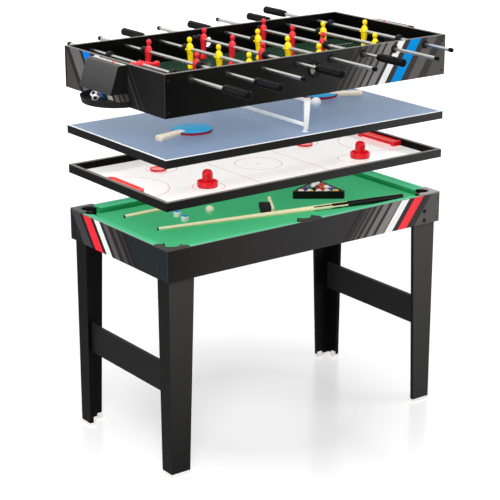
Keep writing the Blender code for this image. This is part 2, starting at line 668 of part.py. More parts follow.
def make_hockey():
    """The air hockey top: rim, playing panel, goals, pushers and pucks."""
    inner_x, inner_y = HALF_LENGTH - HOCKEY_RIM, HALF_WIDTH - HOCKEY_RIM
    low, high = HOCKEY_BOTTOM - CUT_OVER, HOCKEY_TOP + CUT_OVER
    frame = joined([box((-HALF_LENGTH, -HALF_WIDTH, HOCKEY_BOTTOM), (HALF_LENGTH, HALF_WIDTH, HOCKEY_TOP))],
                   [box((-inner_x, -inner_y, low), (inner_x, inner_y, high))])
    node("hockey_frame", frame, CHARCOAL)
    x, y = inner_x - GAP, inner_y - GAP
    panel = box((-x, -y, HOCKEY_SURFACE - HOCKEY_PANEL_THICK), (x, y, HOCKEY_SURFACE))
    node("hockey_panel", panel, WHITE)
    surface = HOCKEY_SURFACE + GAP
    for sx, side in ((-1, "left"), (1, "right")):
        make_hockey_goal("hockey_goal_%s" % side, sx, inner_x - GAP, surface)
    for shares, side in zip(PUSHER_PLACE_SHARES, ("left", "right")):
        knob, dome = PUSHER_KNOB_RADIUS, PUSHER_HEIGHT - PUSHER_DOME
        profile = ((PUSHER_RADIUS, 0.0), (PUSHER_RADIUS, PUSHER_RIM),
                   (PUSHER_RADIUS - PUSHER_RIM_WALL, PUSHER_RIM), (PUSHER_RADIUS - PUSHER_RIM_WALL, PUSHER_FLOOR),
                   (knob, PUSHER_FLOOR), (knob, dome),
                   (knob * THREE_QUARTER_SHARE, dome + PUSHER_DOME * THREE_QUARTER_SHARE),
                   (knob * HALF_SHARE * HALF_SHARE, PUSHER_HEIGHT))
        shape = turned(profile, sides=BALL_SIDES)
        node("pusher_%s" % side, moved(shape, placed(shares, surface)), RED, smooth=True)
    for shares, side in zip(PUCK_PLACE_SHARES, ("left", "right")):
        dish = PUCK_RADIUS - PUCK_RIM
        profile = ((PUCK_RADIUS, 0.0), (PUCK_RADIUS, PUCK_HEIGHT), (dish, PUCK_HEIGHT),
                   (dish - PUCK_DISH, PUCK_HEIGHT - PUCK_DISH))
        shape = turned(profile, sides=BALL_SIDES)
        node("puck_%s" % side, moved(shape, placed(shares, surface)), RED, smooth=True)


def make_hockey_goal(name, sx, wall, surface):
    """A low bar on two rounded posts, open below for the puck and grooved on top."""
    half, post = GOAL_WIDTH / 2, GOAL_POST
    corner = post / 2
    outline = [(0.0, -half), *arc((GOAL_DEPTH - corner, -half + corner), corner, -math.pi / 2, 0.0, 3),
               *arc((GOAL_DEPTH - corner, half - corner), corner, 0.0, math.pi / 2, 3), (0.0, half)]
    high = surface + GOAL_HEIGHT
    shape = prism([(sx * (wall - a), b) for a, b in outline], surface, high)
    ends = sorted((sx * (wall + CUT_OVER), sx * (wall - GOAL_DEPTH - CUT_OVER)))
    slot = box((ends[0], -half + post, surface - CUT_OVER), (ends[1], half - post, high - GOAL_ROOF))
    lips = sorted((sx * (wall - GOAL_LIP), sx * (wall - GOAL_DEPTH + GOAL_LIP)))
    groove = box((lips[0], -half + post, high - GOAL_GROOVE), (lips[1], half - post, high + CUT_OVER))
    node(name, joined([shape], [slot, groove]), RED)


def make_tennis():
    """The table tennis top: board with an edge rim, net on two posts, paddles and ball."""
    x, y = HALF_LENGTH, HALF_WIDTH
    hollow = box((-x + TENNIS_RIM, -y + TENNIS_RIM, TENNIS_BOTTOM - CUT_OVER),
                 (x - TENNIS_RIM, y - TENNIS_RIM, TENNIS_TOP - TENNIS_PANEL_THICK))
    node("tennis_board", joined([box((-x, -y, TENNIS_BOTTOM), (x, y, TENNIS_TOP))], [hollow]), TENNIS_BLUE)
    make_net()
    make_paddle("paddle_left", PADDLE_LEFT_PLACE_SHARES, PADDLE_LEFT_TURN)
    make_paddle("paddle_right", PADDLE_RIGHT_PLACE_SHARES, PADDLE_RIGHT_TURN)
    shape = ball(TENNIS_BALL_RADIUS, (0.0, 0.0, GAP + TENNIS_BALL_RADIUS))
    node("tennis_ball", moved(shape, placed(TENNIS_BALL_PLACE_SHARES, TENNIS_TOP)), WHITE, smooth=True)


def lattice(low, high, columns, rows, strand_width, thick):
    """A flat net in the YZ plane: square gaps between strands, in one closed skin."""
    def lines(start, end, count):
        step = (end - start + strand_width) / count
        cells = [(start - strand_width + step * i, start + step * i) for i in range(count + 1)]
        return [value for pair in cells for value in pair]

    ys, zs = lines(low[0], high[0], columns), lines(low[1], high[1], rows)
    solid = [[i % 2 == 0 or j % 2 == 0 for j in range(len(zs) - 1)] for i in range(len(ys) - 1)]
    stride = len(zs)
    count = len(ys) * stride
    verts = [(side * thick / 2, y, z) for side in (-1, 1) for y in ys for z in zs]
    faces = []
    for i, column in enumerate(solid):
        for j, filled in enumerate(column):
            if not filled:
                continue
            a, b = i * stride + j, (i + 1) * stride + j
            c, d = b + 1, a + 1
            faces.append((a, d, c, b))
            faces.append((a + count, b + count, c + count, d + count))
            sides = (((i, j - 1), a, b), ((i + 1, j), b, c), ((i, j + 1), c, d), ((i - 1, j), d, a))
            for (ni, nj), p, q in sides:
                inside = 0 <= ni < len(solid) and 0 <= nj < len(column)
                if not inside or not solid[ni][nj]:
                    faces.append((p, q, q + count, p + count))
    return mesh_of(verts, faces)


def make_net():
    """A net with taped edges, stretched between two posts that stand on the board."""
    low = TENNIS_TOP + GAP
    top = low + NET_HEIGHT
    half, thin = NET_SPAN / 2, NET_THICK / 2
    bottom = low + NET_LOW
    adds = [lattice((-half, bottom + NET_TAPE), (half, top - NET_TAPE), NET_COLUMNS, NET_ROWS,
                    NET_STRAND, NET_THICK)]
    for start in (bottom, top - NET_TAPE):
        adds.append(box((-thin - GAP, -half, start), (thin + GAP, half, start + NET_TAPE)))
    narrow, wide, mid = POST_WIDTH / 2, POST_TOP_WIDTH / 2, low + NET_HEIGHT * THREE_QUARTER_SHARE
    for sy in (-1, 1):
        outline = ((-narrow, low), (narrow, low), (narrow, mid), (wide, top), (-wide, top), (-narrow, mid))
        span = sorted((sy * (half - POST_THICK), sy * half))
        adds.append(prism(outline, span[0] - GAP, span[1] + GAP, "Y"))
        ends = sorted((sy * (half - CLAMP_LENGTH), sy * (half + OVERLAP)))
        adds.append(box((-CLAMP_WIDTH / 2, ends[0], low), (CLAMP_WIDTH / 2, ends[1], low + CLAMP_THICK)))
    node("net", joined(adds), NET_WHITE)


def make_paddle(name, shares, turn):
    """A round-headed paddle that lies flat, placed by the end of its handle."""
    centre = PADDLE_HANDLE_LENGTH + PADDLE_HEAD_LENGTH / 2
    angles = [math.tau * i / PADDLE_SIDES for i in range(PADDLE_SIDES)]
    head = [(centre + PADDLE_HEAD_LENGTH / 2 * math.cos(a), PADDLE_HEAD_WIDTH / 2 * math.sin(a)) for a in angles]
    lift = (PADDLE_HANDLE_THICK - PADDLE_THICK) / 2
    blade = prism(head, lift, lift + PADDLE_THICK)
    wide, taper = PADDLE_HANDLE_WIDTH / 2, PADDLE_HANDLE_TAPER
    reach = PADDLE_HANDLE_LENGTH + PADDLE_HANDLE_WIDTH
    outline = ((0.0, -wide), (taper, -wide - taper / 4), (reach - taper, -wide), (reach, -wide + taper),
               (reach, wide - taper), (reach - taper, wide), (taper, wide + taper / 4), (0.0, wide))
    handle = prism(outline, 0.0, PADDLE_HANDLE_THICK)
    spot = placed(shares, TENNIS_TOP + GAP, turn)
    node(name, moved(joined([blade, handle]), spot), PADDLE_BLUE)


def rod_x(index):
    return (index - (ROD_COUNT - 1) / 2) * ROD_SPACING


def make_box():
    """The foosball box: four walls, field, goals with their ball trays, and a ball."""
    names = ("box_side_front", "box_side_back", "box_end_left", "box_end_right")
    cuts = {}
    bore = ROD_RADIUS + ROD_RUNNING_GAP
    cup = BALL_HOLE_RADIUS + BALL_CUP_WALL
    for sy, name in ((-1, names[0]), (1, names[1])):
        adds, takes = [], []
        holes = [(rod_x(i), ROD_AXIS, BUSH_RADIUS, BUSH_THICK, bore, ROUND_SIDES) for i in range(ROD_COUNT)]
        holes.append((0.0, BOX_TOP - BALL_HOLE_DROP, cup, BALL_CUP_DEPTH, BALL_HOLE_RADIUS, BALL_SIDES))
        for x, z, outer, stand, inner, sides in holes:
            near, far = sorted((sy * (HALF_WIDTH - OVERLAP), sy * (HALF_WIDTH + stand)))
            adds.append(turned(((outer, near), (outer, far)), "Y", (x, 0.0, z), sides))
            near, far = sorted((sy * (INNER_Y - CUT_OVER), sy * (HALF_WIDTH + stand + CUT_OVER)))
            takes.append(turned(((inner, near), (inner, far)), "Y", (x, 0.0, z), sides))
        cuts[name] = ([together(adds)], [together(takes)])
    mouth = GOAL_MOUTH_WIDTH / 2
    for sx, name in ((-1, names[2]), (1, names[3])):
        near, far = sorted((sx * (INNER_X - CUT_OVER), sx * (HALF_LENGTH + CUT_OVER)))
        cuts[name] = ((), [box((near, -mouth, FIELD_TOP), (far, mouth, FIELD_TOP + GOAL_MOUTH_HEIGHT))])
    four_panels(names, BOX_BOTTOM, BOX_TOP, cuts)
    field = box((-INNER_X, -INNER_Y, FIELD_TOP - FIELD_THICK), (INNER_X, INNER_Y, FIELD_TOP))
    node("field", field, FIELD_GREEN)
    for sx, side in ((-1, "left"), (1, "right")):
        make_goal("goal_%s" % side, sx)
    x = -HALF_LENGTH - FOOTBALL_PLACE_SHARES[0] * TRAY_REACH
    y = FOOTBALL_PLACE_SHARES[1] * TRAY_HALF_WIDTH
    z = BOX_BOTTOM + TRAY_RISE + TRAY_FLOOR_THICK + GAP + FOOTBALL_RADIUS
    node("football", ball(FOOTBALL_RADIUS, (x, y, z)), WHITE, smooth=True)


def make_goal(name, sx):
    """A sloped hood outside the goal mouth, over a half-round ball tray."""
    wall, half, thin = HALF_LENGTH + GAP, HOOD_WIDTH / 2, HOOD_WALL
    top = BOX_TOP - HOOD_TOP_DROP
    low = BOX_BOTTOM + HOOD_FOOT_RISE
    tray_low = BOX_BOTTOM + TRAY_RISE
    tray_top = tray_low + TRAY_RIM_HEIGHT

    def across(outline, start, end):
        return prism([(sx * (wall + a), b) for a, b in outline], start, end, "Y")

    edge = HOOD_EDGE
    plate = ((0.0, tray_low), (BACK_PLATE_THICK, tray_low), (BACK_PLATE_THICK, top - edge), (0.0, top - edge))
    shell = [(0.0, top), (HOOD_REACH_TOP - edge, top), (HOOD_REACH_TOP, top - edge), (HOOD_REACH_LOW, low)]
    inside = [(0.0, top - thin), (HOOD_REACH_TOP - edge - thin / 2, top - thin),
              (HOOD_REACH_TOP - thin, top - edge - thin / 2), (HOOD_REACH_LOW - thin, low - CUT_OVER),
              (0.0, low - CUT_OVER)]
    hood = joined([across([*shell, (0.0, low)], -half, half)], [across(inside, -half + thin, half - thin)])
    adds = [across(plate, -half, half), hood]
    rings = {}
    for part, less in (("outer", 0.0), ("inner", thin)):
        for level, draft in (("low", TRAY_DRAFT), ("high", 0.0)):
            rings[part, level] = [
                (sx * (wall + (TRAY_REACH - less - draft) * math.cos(a)), (TRAY_HALF_WIDTH - less - draft) * math.sin(a))
                for a in [math.pi * (i / TRAY_SIDES - HALF_SHARE) for i in range(TRAY_SIDES + 1)]]
    bowl = stack([[(x, y, tray_low) for x, y in rings["outer", "low"]],
                  [(x, y, tray_top) for x, y in rings["outer", "high"]]])
    hollow = stack([[(x, y, tray_low + TRAY_FLOOR_THICK) for x, y in rings["inner", "low"]],
                    [(x, y, tray_top) for x, y in rings["inner", "high"]],
                    [(x, y, tray_top + CUT_OVER) for x, y in rings["inner", "high"]]])
    adds.append(joined([bowl], [hollow]))
    ends = sorted((sx * wall, sx * (wall + BACK_PLATE_THICK)))
    width = TRAY_HALF_WIDTH - TRAY_DRAFT
    adds.append(box((ends[0], -width, tray_low), (ends[1], width, tray_top)))
    mouth = GOAL_MOUTH_WIDTH / 2
    ends = sorted((sx * (wall - CUT_OVER), sx * (wall + BACK_PLATE_THICK + OVERLAP)))
    takes = [box((ends[0], -mouth, FIELD_TOP), (ends[1], mouth, FIELD_TOP + GOAL_MOUTH_HEIGHT))]
    node(name, joined(adds, takes), CHARCOAL)


def man(y):
    """One player on the rod, upright, at this place along it."""
    levels = [(-MAN_DROP * h, w, d) for h, w, d in MAN_LEG_SHARES]
    levels += [(MAN_RISE * h, w, d) for h, w, d in MAN_BODY_SHARES]
    reach = HALF_SHARE / math.cos(math.pi / MAN_SIDES)
    rings = []
    for height, wide, deep in levels:
        angles = [math.tau * i / MAN_SIDES for i in range(MAN_SIDES)]
        rings.append([(MAN_DEPTH * deep * reach * math.cos(a), y + MAN_WIDTH * wide * reach * math.sin(a), height)
                      for a in angles])
    return stack(rings)


def rod_layout(count):
    """Where the men sit along a rod with this many, and how far out its bumpers are."""
    spacing = {1: 0.0, 2: PAIR_SPACING, 3: TRIO_SPACING}[count]
    places = [(i - (count - 1) / 2) * spacing for i in range(count)]
    outermost = places[-1] + MAN_WIDTH / 2 + BUMPER_CLEAR + BUMPER_LENGTH / 2
    return places, GOALIE_BUMPER if count == 1 else outermost


def make_rods():
    """Eight sliding rods, each with its men, grip and end cap, and a loose rubber bumper."""
    for index, (side, team, count, slide_share, turn) in enumerate(ROD_SHARES):
        places, centre = rod_layout(count)
        near, far = centre - BUMPER_LENGTH / 2, centre + BUMPER_LENGTH / 2
        travel = HALF_WIDTH - PANEL_THICK - far - BUMPER_STOP
        shaft = turned([(r, side * h) for r, h in rod_profile(near, far)], "Y")
        whole = joined([shaft] + [man(y) for y in places])
        spot = Matrix.Translation((rod_x(index), slide_share * travel, ROD_AXIS))
        colour = RED if team == "red" else YELLOW
        turned_rod = moved(whole, spot @ Matrix.Rotation(turn, 4, "Y"))
        node("rod_%d" % (index + 1), turned_rod, colour, smooth=True)
        ends = sorted((side * near, side * far))
        ring = tube(BUMPER_RADIUS, ROD_RADIUS + BUMPER_BORE_GAP, ends[0], ends[1])
        node("bumper_%d" % (index + 1), moved(ring, spot), BLACK, smooth=True)


def rod_profile(near, far):
    """The rod from its capped end, through its fixed bumper, to its ribbed grip."""
    cap = END_CAP_LENGTH - ROD_BARE_REACH
    start = ROD_GRIP_REACH - GRIP_LENGTH
    collar = start + GRIP_COLLAR_LENGTH
    profile = [(END_CAP_RADIUS, -ROD_BARE_REACH), (END_CAP_RADIUS, cap), (ROD_RADIUS, cap),
               (ROD_RADIUS, -far), (BUMPER_RADIUS, -far), (BUMPER_RADIUS, -near), (ROD_RADIUS, -near),
               (ROD_RADIUS, start), (GRIP_COLLAR_RADIUS, start), (GRIP_COLLAR_RADIUS, collar),
               (GRIP_NECK, collar)]
    pitch = (ROD_GRIP_REACH - collar) / (GRIP_RIBS + HALF_SHARE)
    for rib in range(GRIP_RIBS):
        at = collar + pitch * rib
        profile += [(GRIP_RADIUS, at + pitch / 2), (GRIP_RADIUS - GRIP_GROOVE, at + pitch)]
    return profile + [(GRIP_RADIUS, ROD_GRIP_REACH - pitch / 4), (GRIP_NECK, ROD_GRIP_REACH)]


clear_scene()
make_base()
make_pool_equipment()
make_hockey()
make_tennis()
make_box()
make_rods()
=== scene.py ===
"""Dressed model of a multi game table: pool base with air hockey, table tennis and foosball tops."""

import math
import random

import bmesh
import bpy
from mathutils import Matrix, Vector


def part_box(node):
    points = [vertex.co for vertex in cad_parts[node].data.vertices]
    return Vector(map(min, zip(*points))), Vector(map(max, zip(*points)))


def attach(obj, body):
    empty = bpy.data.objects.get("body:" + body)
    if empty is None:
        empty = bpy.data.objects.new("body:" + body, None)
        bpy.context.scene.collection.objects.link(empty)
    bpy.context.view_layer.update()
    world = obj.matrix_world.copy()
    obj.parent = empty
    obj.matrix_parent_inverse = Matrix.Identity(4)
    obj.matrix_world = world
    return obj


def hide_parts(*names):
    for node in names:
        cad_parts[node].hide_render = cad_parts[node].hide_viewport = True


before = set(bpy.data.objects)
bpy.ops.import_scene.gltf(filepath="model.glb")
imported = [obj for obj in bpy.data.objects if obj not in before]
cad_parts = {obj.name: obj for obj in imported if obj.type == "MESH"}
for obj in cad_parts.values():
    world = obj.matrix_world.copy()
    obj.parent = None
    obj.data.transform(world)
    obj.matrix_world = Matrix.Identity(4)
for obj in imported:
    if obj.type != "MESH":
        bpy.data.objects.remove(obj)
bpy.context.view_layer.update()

# The main sizes, in metres: read back from the solids, or the source's own where no solid gives them
HALF_LENGTH, HALF_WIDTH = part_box("apron_front")[1][0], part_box("apron_back")[1][1]
APRON_LOW, RAIL_TOP = (corner[2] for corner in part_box("apron_front"))
CUSHION_HEIGHT = 0.026
CLOTH_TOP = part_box("bed")[1][2] - CUSHION_HEIGHT
HOCKEY_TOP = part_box("hockey_frame")[1][2]
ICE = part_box("hockey_panel")[1][2]
BOARD_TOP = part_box("tennis_board")[1][2]
BOX_LOW, BOX_TOP = (corner[2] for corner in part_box("box_end_left"))
ROD_AXIS = BOX_TOP - 0.026
ROD_PITCH = HALF_LENGTH * 2 * 0.1194
PANEL = 0.012

# The four corners, as the signs of X and Y
CORNERS = ((-1, -1), (-1, 1), (1, -1), (1, 1))

# How far under a long and a short outer face its own colour still holds
LONG_SKIN, SHORT_SKIN = 0.0006, 0.0004


# Colour and nodes
def hue(code):
    """A hex sRGB colour as linear RGBA."""
    parts = [int(code[i:i + 2], 16) / 255 for i in (0, 2, 4)]
    return (*[c / 12.92 if c <= 0.04045 else ((c + 0.055) / 1.055) ** 2.4 for c in parts], 1.0)


def add(tree, kind, links=None, **settings):
    """Adds a node with its settings; each link is a Value, a socket of another node or a plain value."""
    made = tree.nodes.new(kind)
    for key, value in settings.items():
        setattr(made, key, value)
    for socket, value in (links or {}).items():
        if isinstance(value, Value):
            value = value.socket
        if isinstance(value, bpy.types.NodeSocket):
            tree.links.new(value, made.inputs[socket])
        else:
            made.inputs[socket].default_value = value
    return made


class Value:
    """A number that changes over a surface; arithmetic on it is worked out by the material's nodes.

    A comparison gives a mask, 1 where it holds and 0 elsewhere. & needs both masks and | needs one."""

    def __init__(self, tree, socket):
        self.tree = tree
        self.socket = socket

    def worked(self, operation, *others):
        """One step of arithmetic, with other numbers where it takes them."""
        links = dict(enumerate((self, *others)))
        return Value(self.tree, add(self.tree, "ShaderNodeMath", links, operation=operation).outputs[0])

    def __abs__(self):
        return self.worked("ABSOLUTE")

    def __add__(self, other):
        return self.worked("ADD", other)

    def __sub__(self, other):
        return self.worked("SUBTRACT", other)

    def __mul__(self, other):
        return self.worked("MULTIPLY", other)

    def __lt__(self, other):
        return self.worked("LESS_THAN", other)

    def __gt__(self, other):
        return self.worked("GREATER_THAN", other)

    def __and__(self, other):
        return self.worked("MULTIPLY", other)

    def __or__(self, other):
        return self.worked("MAXIMUM", other)

    def near(self, at, reach):
        """1 where the number is within reach of another."""
        return self.worked("COMPARE", at, reach)

    def spread(self, low, high, first=0.0, last=1.0):
        """Goes from first to last while the number goes from low to high."""
        made = add(self.tree, "ShaderNodeMapRange", {0: self, 1: low, 2: high, 3: first, 4: last})
        return Value(self.tree, made.outputs[0])


def surface(name, **shader):
    """A new material, its tree and its shader, with the shader's plain values set."""
    material = bpy.data.materials.new(name)
    material.use_nodes = True
    tree = material.node_tree
    principled = tree.nodes["Principled BSDF"]
    for socket, value in shader.items():
        principled.inputs[socket.replace("_", " ")].default_value = value
    return material, tree, principled


def parts_of(tree, label="Object"):
    """X, Y and Z of the place on the object, or of the way that the surface faces there."""
    apart = add(tree, "ShaderNodeSeparateXYZ", {0: add(tree, "ShaderNodeTexCoord").outputs[label]})
    return [Value(tree, socket) for socket in apart.outputs]


def away_from(x, y, centre=(0.0, 0.0)):
    """How far the place lies from a centre, seen from above."""
    dx, dy = x - centre[0], y - centre[1]
    return (dx * dx + dy * dy).worked("SQRT")


def blended(share, first, second):
    """The first colour, and the second where share is 1; a colour is a hex code or a socket."""
    first, second = (hue(colour) if isinstance(colour, str) else colour for colour in (first, second))
    made = add(share.tree, "ShaderNodeMix", {0: share, 6: first, 7: second}, data_type="RGBA")
    return made.outputs[2]


def ramp(value, low, high, stops, joined="LINEAR"):
    """A colour that follows a value from low to high; stops are (value, hex) pairs."""
    made = add(value.tree, "ShaderNodeValToRGB", {0: value.spread(low, high)})
    bar = made.color_ramp
    bar.interpolation = joined
    places = [((at - low) / (high - low), hue(code)) for at, code in stops]
    bar.elements[0].position, bar.elements[0].color = places[0]
    bar.elements[1].position, bar.elements[1].color = places[-1]
    for at, colour in places[1:-1]:
        bar.elements.new(at).color = colour
    return made.outputs[0]


def along_table(x, painted_light):
    """Painted light: a shade that grows slowly lighter from the left end of the table to the right."""
    return ramp(x, -HALF_LENGTH, HALF_LENGTH, painted_light)


def banded(value, bands):
    """Printed bands with hard edges, each from its start up to the next one's."""
    return ramp(value, -BAND_REACH, BAND_REACH, bands, "CONSTANT")


def laid_on(tree, shader, colour, gloss, height, strength, distance):
    """Gives a shader its colour, its roughness and its small bumps."""
    bump = add(tree, "ShaderNodeBump", {"Height": height, "Strength": strength, "Distance": distance})
    for socket, label in ((colour, "Base Color"), (gloss.socket, "Roughness"), (bump.outputs[0], "Normal")):
        tree.links.new(socket, shader.inputs[label])


def grain(tree, shader, paint, size_mm, depth, shift, rough, stretch=(1, 1, 1), detail=4.0):
    """Uneven colour, gloss and surface from one noise whose main grain is size_mm across."""
    where = add(tree, "ShaderNodeTexCoord").outputs["Object"]
    mapped = add(tree, "ShaderNodeMapping", {"Vector": where, "Scale": stretch}).outputs[0]
    noise = Value(tree, add(tree, "ShaderNodeTexNoise", {
        "Vector": mapped, "Scale": 1000.0 / size_mm, "Detail": detail, "Roughness": 0.6}).outputs["Fac"])
    colour = hue(paint)[:3] if isinstance(paint, str) else paint
    level, gloss = (noise.spread(0.3, 0.7, at - by, at + by) for at, by in ((1.0, shift), (rough, 0.06)))
    scaled = add(tree, "ShaderNodeVectorMath", {0: colour, "Scale": level}, operation="SCALE").outputs[0]
    laid_on(tree, shader, scaled, gloss, noise, depth, size_mm / 2500)


# Finishes
def moulded(name, code, rough=0.38, size_mm=1.2, depth=0.05, shift=0.08, gloss=0.3):
    """A plain skin in one colour: even and satin where moulded or turned, dull where pressed or woven.

    Its fine texture is drawn coarser than it is, about a millimetre across, so that it shows."""
    material, tree, shader = surface(name, IOR=1.5, Specular_IOR_Level=gloss)
    grain(tree, shader, code, size_mm, depth, shift, rough)
    return material


# Painted light along the table, as (x, hex) from the left end to the right: the black film and the pocket
# covers are drawn lighter toward the right, where the sheen falls on them
BOX_PAINTED_LIGHT = ((-0.62, "050505"), (-0.20, "151514"), (0.03, "2a2929"), (0.20, "363535"))
APRON_PAINTED_LIGHT = ((-0.62, "1f1d1c"), (-0.37, "2e2b2a"), (-0.05, "343334"), (0.30, "3e3c3b"))
HOCKEY_PAINTED_LIGHT = ((-0.62, "151514"), (-0.15, "262625"), (0.28, "343434"), (0.60, "3d3d3c"))
TENNIS_PAINTED_LIGHT = ((-0.62, "131112"), (-0.10, "171715"), (0.16, "202020"), (0.30, "30302f"), (0.60, "3b3a3a"))
COVER_PAINTED_LIGHT = ((-0.62, "3a3836"), (-0.30, "4a4744"), (0.62, "98938f"))

# The slanted bands printed on the boards, as (start, hex). A start is in metres from the side's middle,
# at its low edge. It grows to the right on the front and to the back on the left end, and the other way
# on the sides opposite. A slope is how far a band leans over for each metre of height.
BAND_REACH, BASE_SLOPE, BOX_SLOPE = 0.7, 0.76, 0.645
# On the long sides, the dark bands between the pale ones hold the film's painted light, so that they grow
# lighter as the bands run on
BOX_BANDS = ((-0.7, "100f0f"), (0.074, "383737"), (0.082, "302f2f"), (0.098, "403f3e"), (0.109, "313030"),
             (0.123, "4b4948"), (0.138, "323131"), (0.151, "585554"), (0.170, "343333"), (0.179, "686563"),
             (0.197, "353434"), (0.210, "787573"), (0.232, "363535"), (0.246, "858280"), (0.277, "383737"),
             (0.294, "f4f4f4"), (0.326, "3c3a3a"), (0.352, "0090e0"), (0.400, "3e3c3c"), (0.436, "625f5e"),
             (0.485, "3f3d3d"), (0.522, "575453"))
BASE_BANDS = ((-0.7, "1b1a1a"), (0.148, "3f3d3d"), (0.156, "383737"), (0.170, "494746"), (0.181, "393838"),
              (0.194, "5a5756"), (0.207, "393838"), (0.221, "6b6866"), (0.239, "3a3939"), (0.252, "7b7876"),
              (0.279, "3a3939"), (0.297, "888582"), (0.338, "3b3a3a"), (0.344, "f8f8f8"), (0.381, "3b3939"),
              (0.406, "ff4048"), (0.453, "3d3b3b"), (0.487, "5c5958"))
END_BANDS = ((-0.7, "1b1a1a"), (-0.205, "2c2b2b"), (-0.196, "1e1d1d"), (-0.172, "3a3938"),
             (-0.160, "232222"), (-0.125, "4b4948"), (-0.108, "292828"), (-0.088, "5d5b5a"),
             (-0.068, "2f2e2e"), (-0.056, "8a8886"), (-0.032, "353333"), (-0.015, "f4f4f4"),
             (0.018, "3a3838"), (0.050, "0086f0"), (0.102, "2d2c2c"), (0.122, "706e6c"),
             (0.186, "2b2a2a"), (0.216, "4b4a49"))
BASE_END_BANDS = ((-0.7, "1b1b1b"), (-0.150, "262626"), (-0.140, "1d1c1c"), (-0.118, "323131"),
                  (-0.103, "222222"), (-0.080, "454343"), (-0.052, "282727"), (-0.027, "5a5857"),
                  (0.008, "242527"), (0.031, "fcfcfc"), (0.068, "1e1f20"), (0.088, "ff3040"),
                  (0.146, "1c1c1e"), (0.166, "424145"), (0.226, "1b1b1d"))


def board(name, inner="030303", painted_light=None, end="1c1c1c", printed=None, top=None, lid=None):
    """Melamine-faced particle board: satin black film with a faint emboss, a grey banded top edge with a
    painted highlight in it, and a painted highlight down each outer corner.

    The long outer faces take the painted light given, a sheen that grows along the table; end is the colour
    of the short ones and inner of the rest.
    printed is (side, low, slope, bands): bands that lean over the outer face of that side.
    top is the height of the grey top edge, and lid the colour of the cloth that laps over it, painted paler
    than the bed as the highlight on the rail's edge."""
    material, tree, shader = surface(name, IOR=1.5, Specular_IOR_Level=0.05)
    x, y, z = parts_of(tree)
    far_x, far_y = abs(x), abs(y)
    banding, lap, lap_deep = 0.0016, 0.0040, 0.0045
    paint = inner
    # Painted light: the long faces are drawn lighter toward the right, as the sheen falls on them
    if painted_light:
        paint = blended(far_y > HALF_WIDTH - LONG_SKIN, paint, along_table(x, painted_light))
        paint = blended(far_x > HALF_LENGTH - SHORT_SKIN, paint, end)
    if printed:
        side, low, slope, bands = printed
        way = 1 if side in ("front", "left") else -1
        across, out, reach = (x, far_y, HALF_WIDTH) if side in ("front", "back") else (y, far_x, HALF_LENGTH)
        value = across * way - (z - low) * slope
        on_face = out.near(reach + 0.0016, 0.0021) & (value > bands[1][0])
        paint = blended(on_face, paint, banded(value, bands))
        # The rod bushes stand proud of the face and have no print
        paint = blended(out > reach + 0.0004, paint, "121212")
        # Painted highlight: a grey line down each outer corner, where an eased edge would catch the light
        corner = (far_x > HALF_LENGTH - banding) & (far_y > HALF_WIDTH - banding)
        paint = blended(corner, paint, "3a3939")
    # The top is grey edge banding, with the highlight that its edge would catch painted into it
    if top is not None:
        paint = blended(z > top - 0.0007, paint, "77736f")
    if lid:
        # The cloth stops short of the outer edge, but for the right end, where it runs up to the film
        inside = (far_x < HALF_LENGTH - lap) & (far_y < HALF_WIDTH - lap)
        covered = (inside | (x > HALF_LENGTH - PANEL - 0.0002)) & (z > top - lap_deep)
        behind_film = (far_x < HALF_LENGTH - SHORT_SKIN) & (far_y < HALF_WIDTH - SHORT_SKIN)
        # The lapped cloth is drawn paler than the bed: a painted highlight on the rail's edge
        paint = blended(covered & behind_film, paint, lid)
    grain(tree, shader, paint, 1.5, 0.06, 0.09, 0.46)
    return material


def felt():
    """Napped polyester felt: matt and slightly fuzzy, with a fine fibrous mottle, over a dark board."""
    material, tree, shader = surface("napped_green_felt", Sheen_Weight=0.06, Sheen_Roughness=0.6,
                                     Specular_IOR_Level=0.05)
    z = parts_of(tree)[2]
    up = parts_of(tree, "Normal")[2]
    # Painted light: the cushions are drawn paler on top than the bed, and darker on their sloped noses, as
    # the light falls
    cushion_with_painted_light = blended(up < 0.8, "4cba89", "1f9a5c")
    paint = blended(z > CLOTH_TOP + 0.002, "3cb177", cushion_with_painted_light)
    paint = blended(z < CLOTH_TOP - 0.003, paint, "3a3029")
    grain(tree, shader, paint, 2.0, 0.18, 0.10, 0.85, detail=8.0)
    return material


def pocket_finish():
    """Moulded pocket: satin grey-brown cover with painted light, darker at the left and lighter toward the
    right, and darker in the middle, on a matt black cup.
    """
    material, tree, shader = surface("moulded_pocket_plastic", Specular_IOR_Level=0.25)
    x, _, z = parts_of(tree)
    at_middle = abs(x) < 0.15
    # Painted light: the covers grow lighter from left to right along the table
    cover = blended(at_middle, along_table(x, COVER_PAINTED_LIGHT), "2c2a28")
    paint = blended(z > RAIL_TOP + 0.0004, "070707", cover)
    grain(tree, shader, paint, 1.0, 0.08, 0.10, 0.42)
    return material


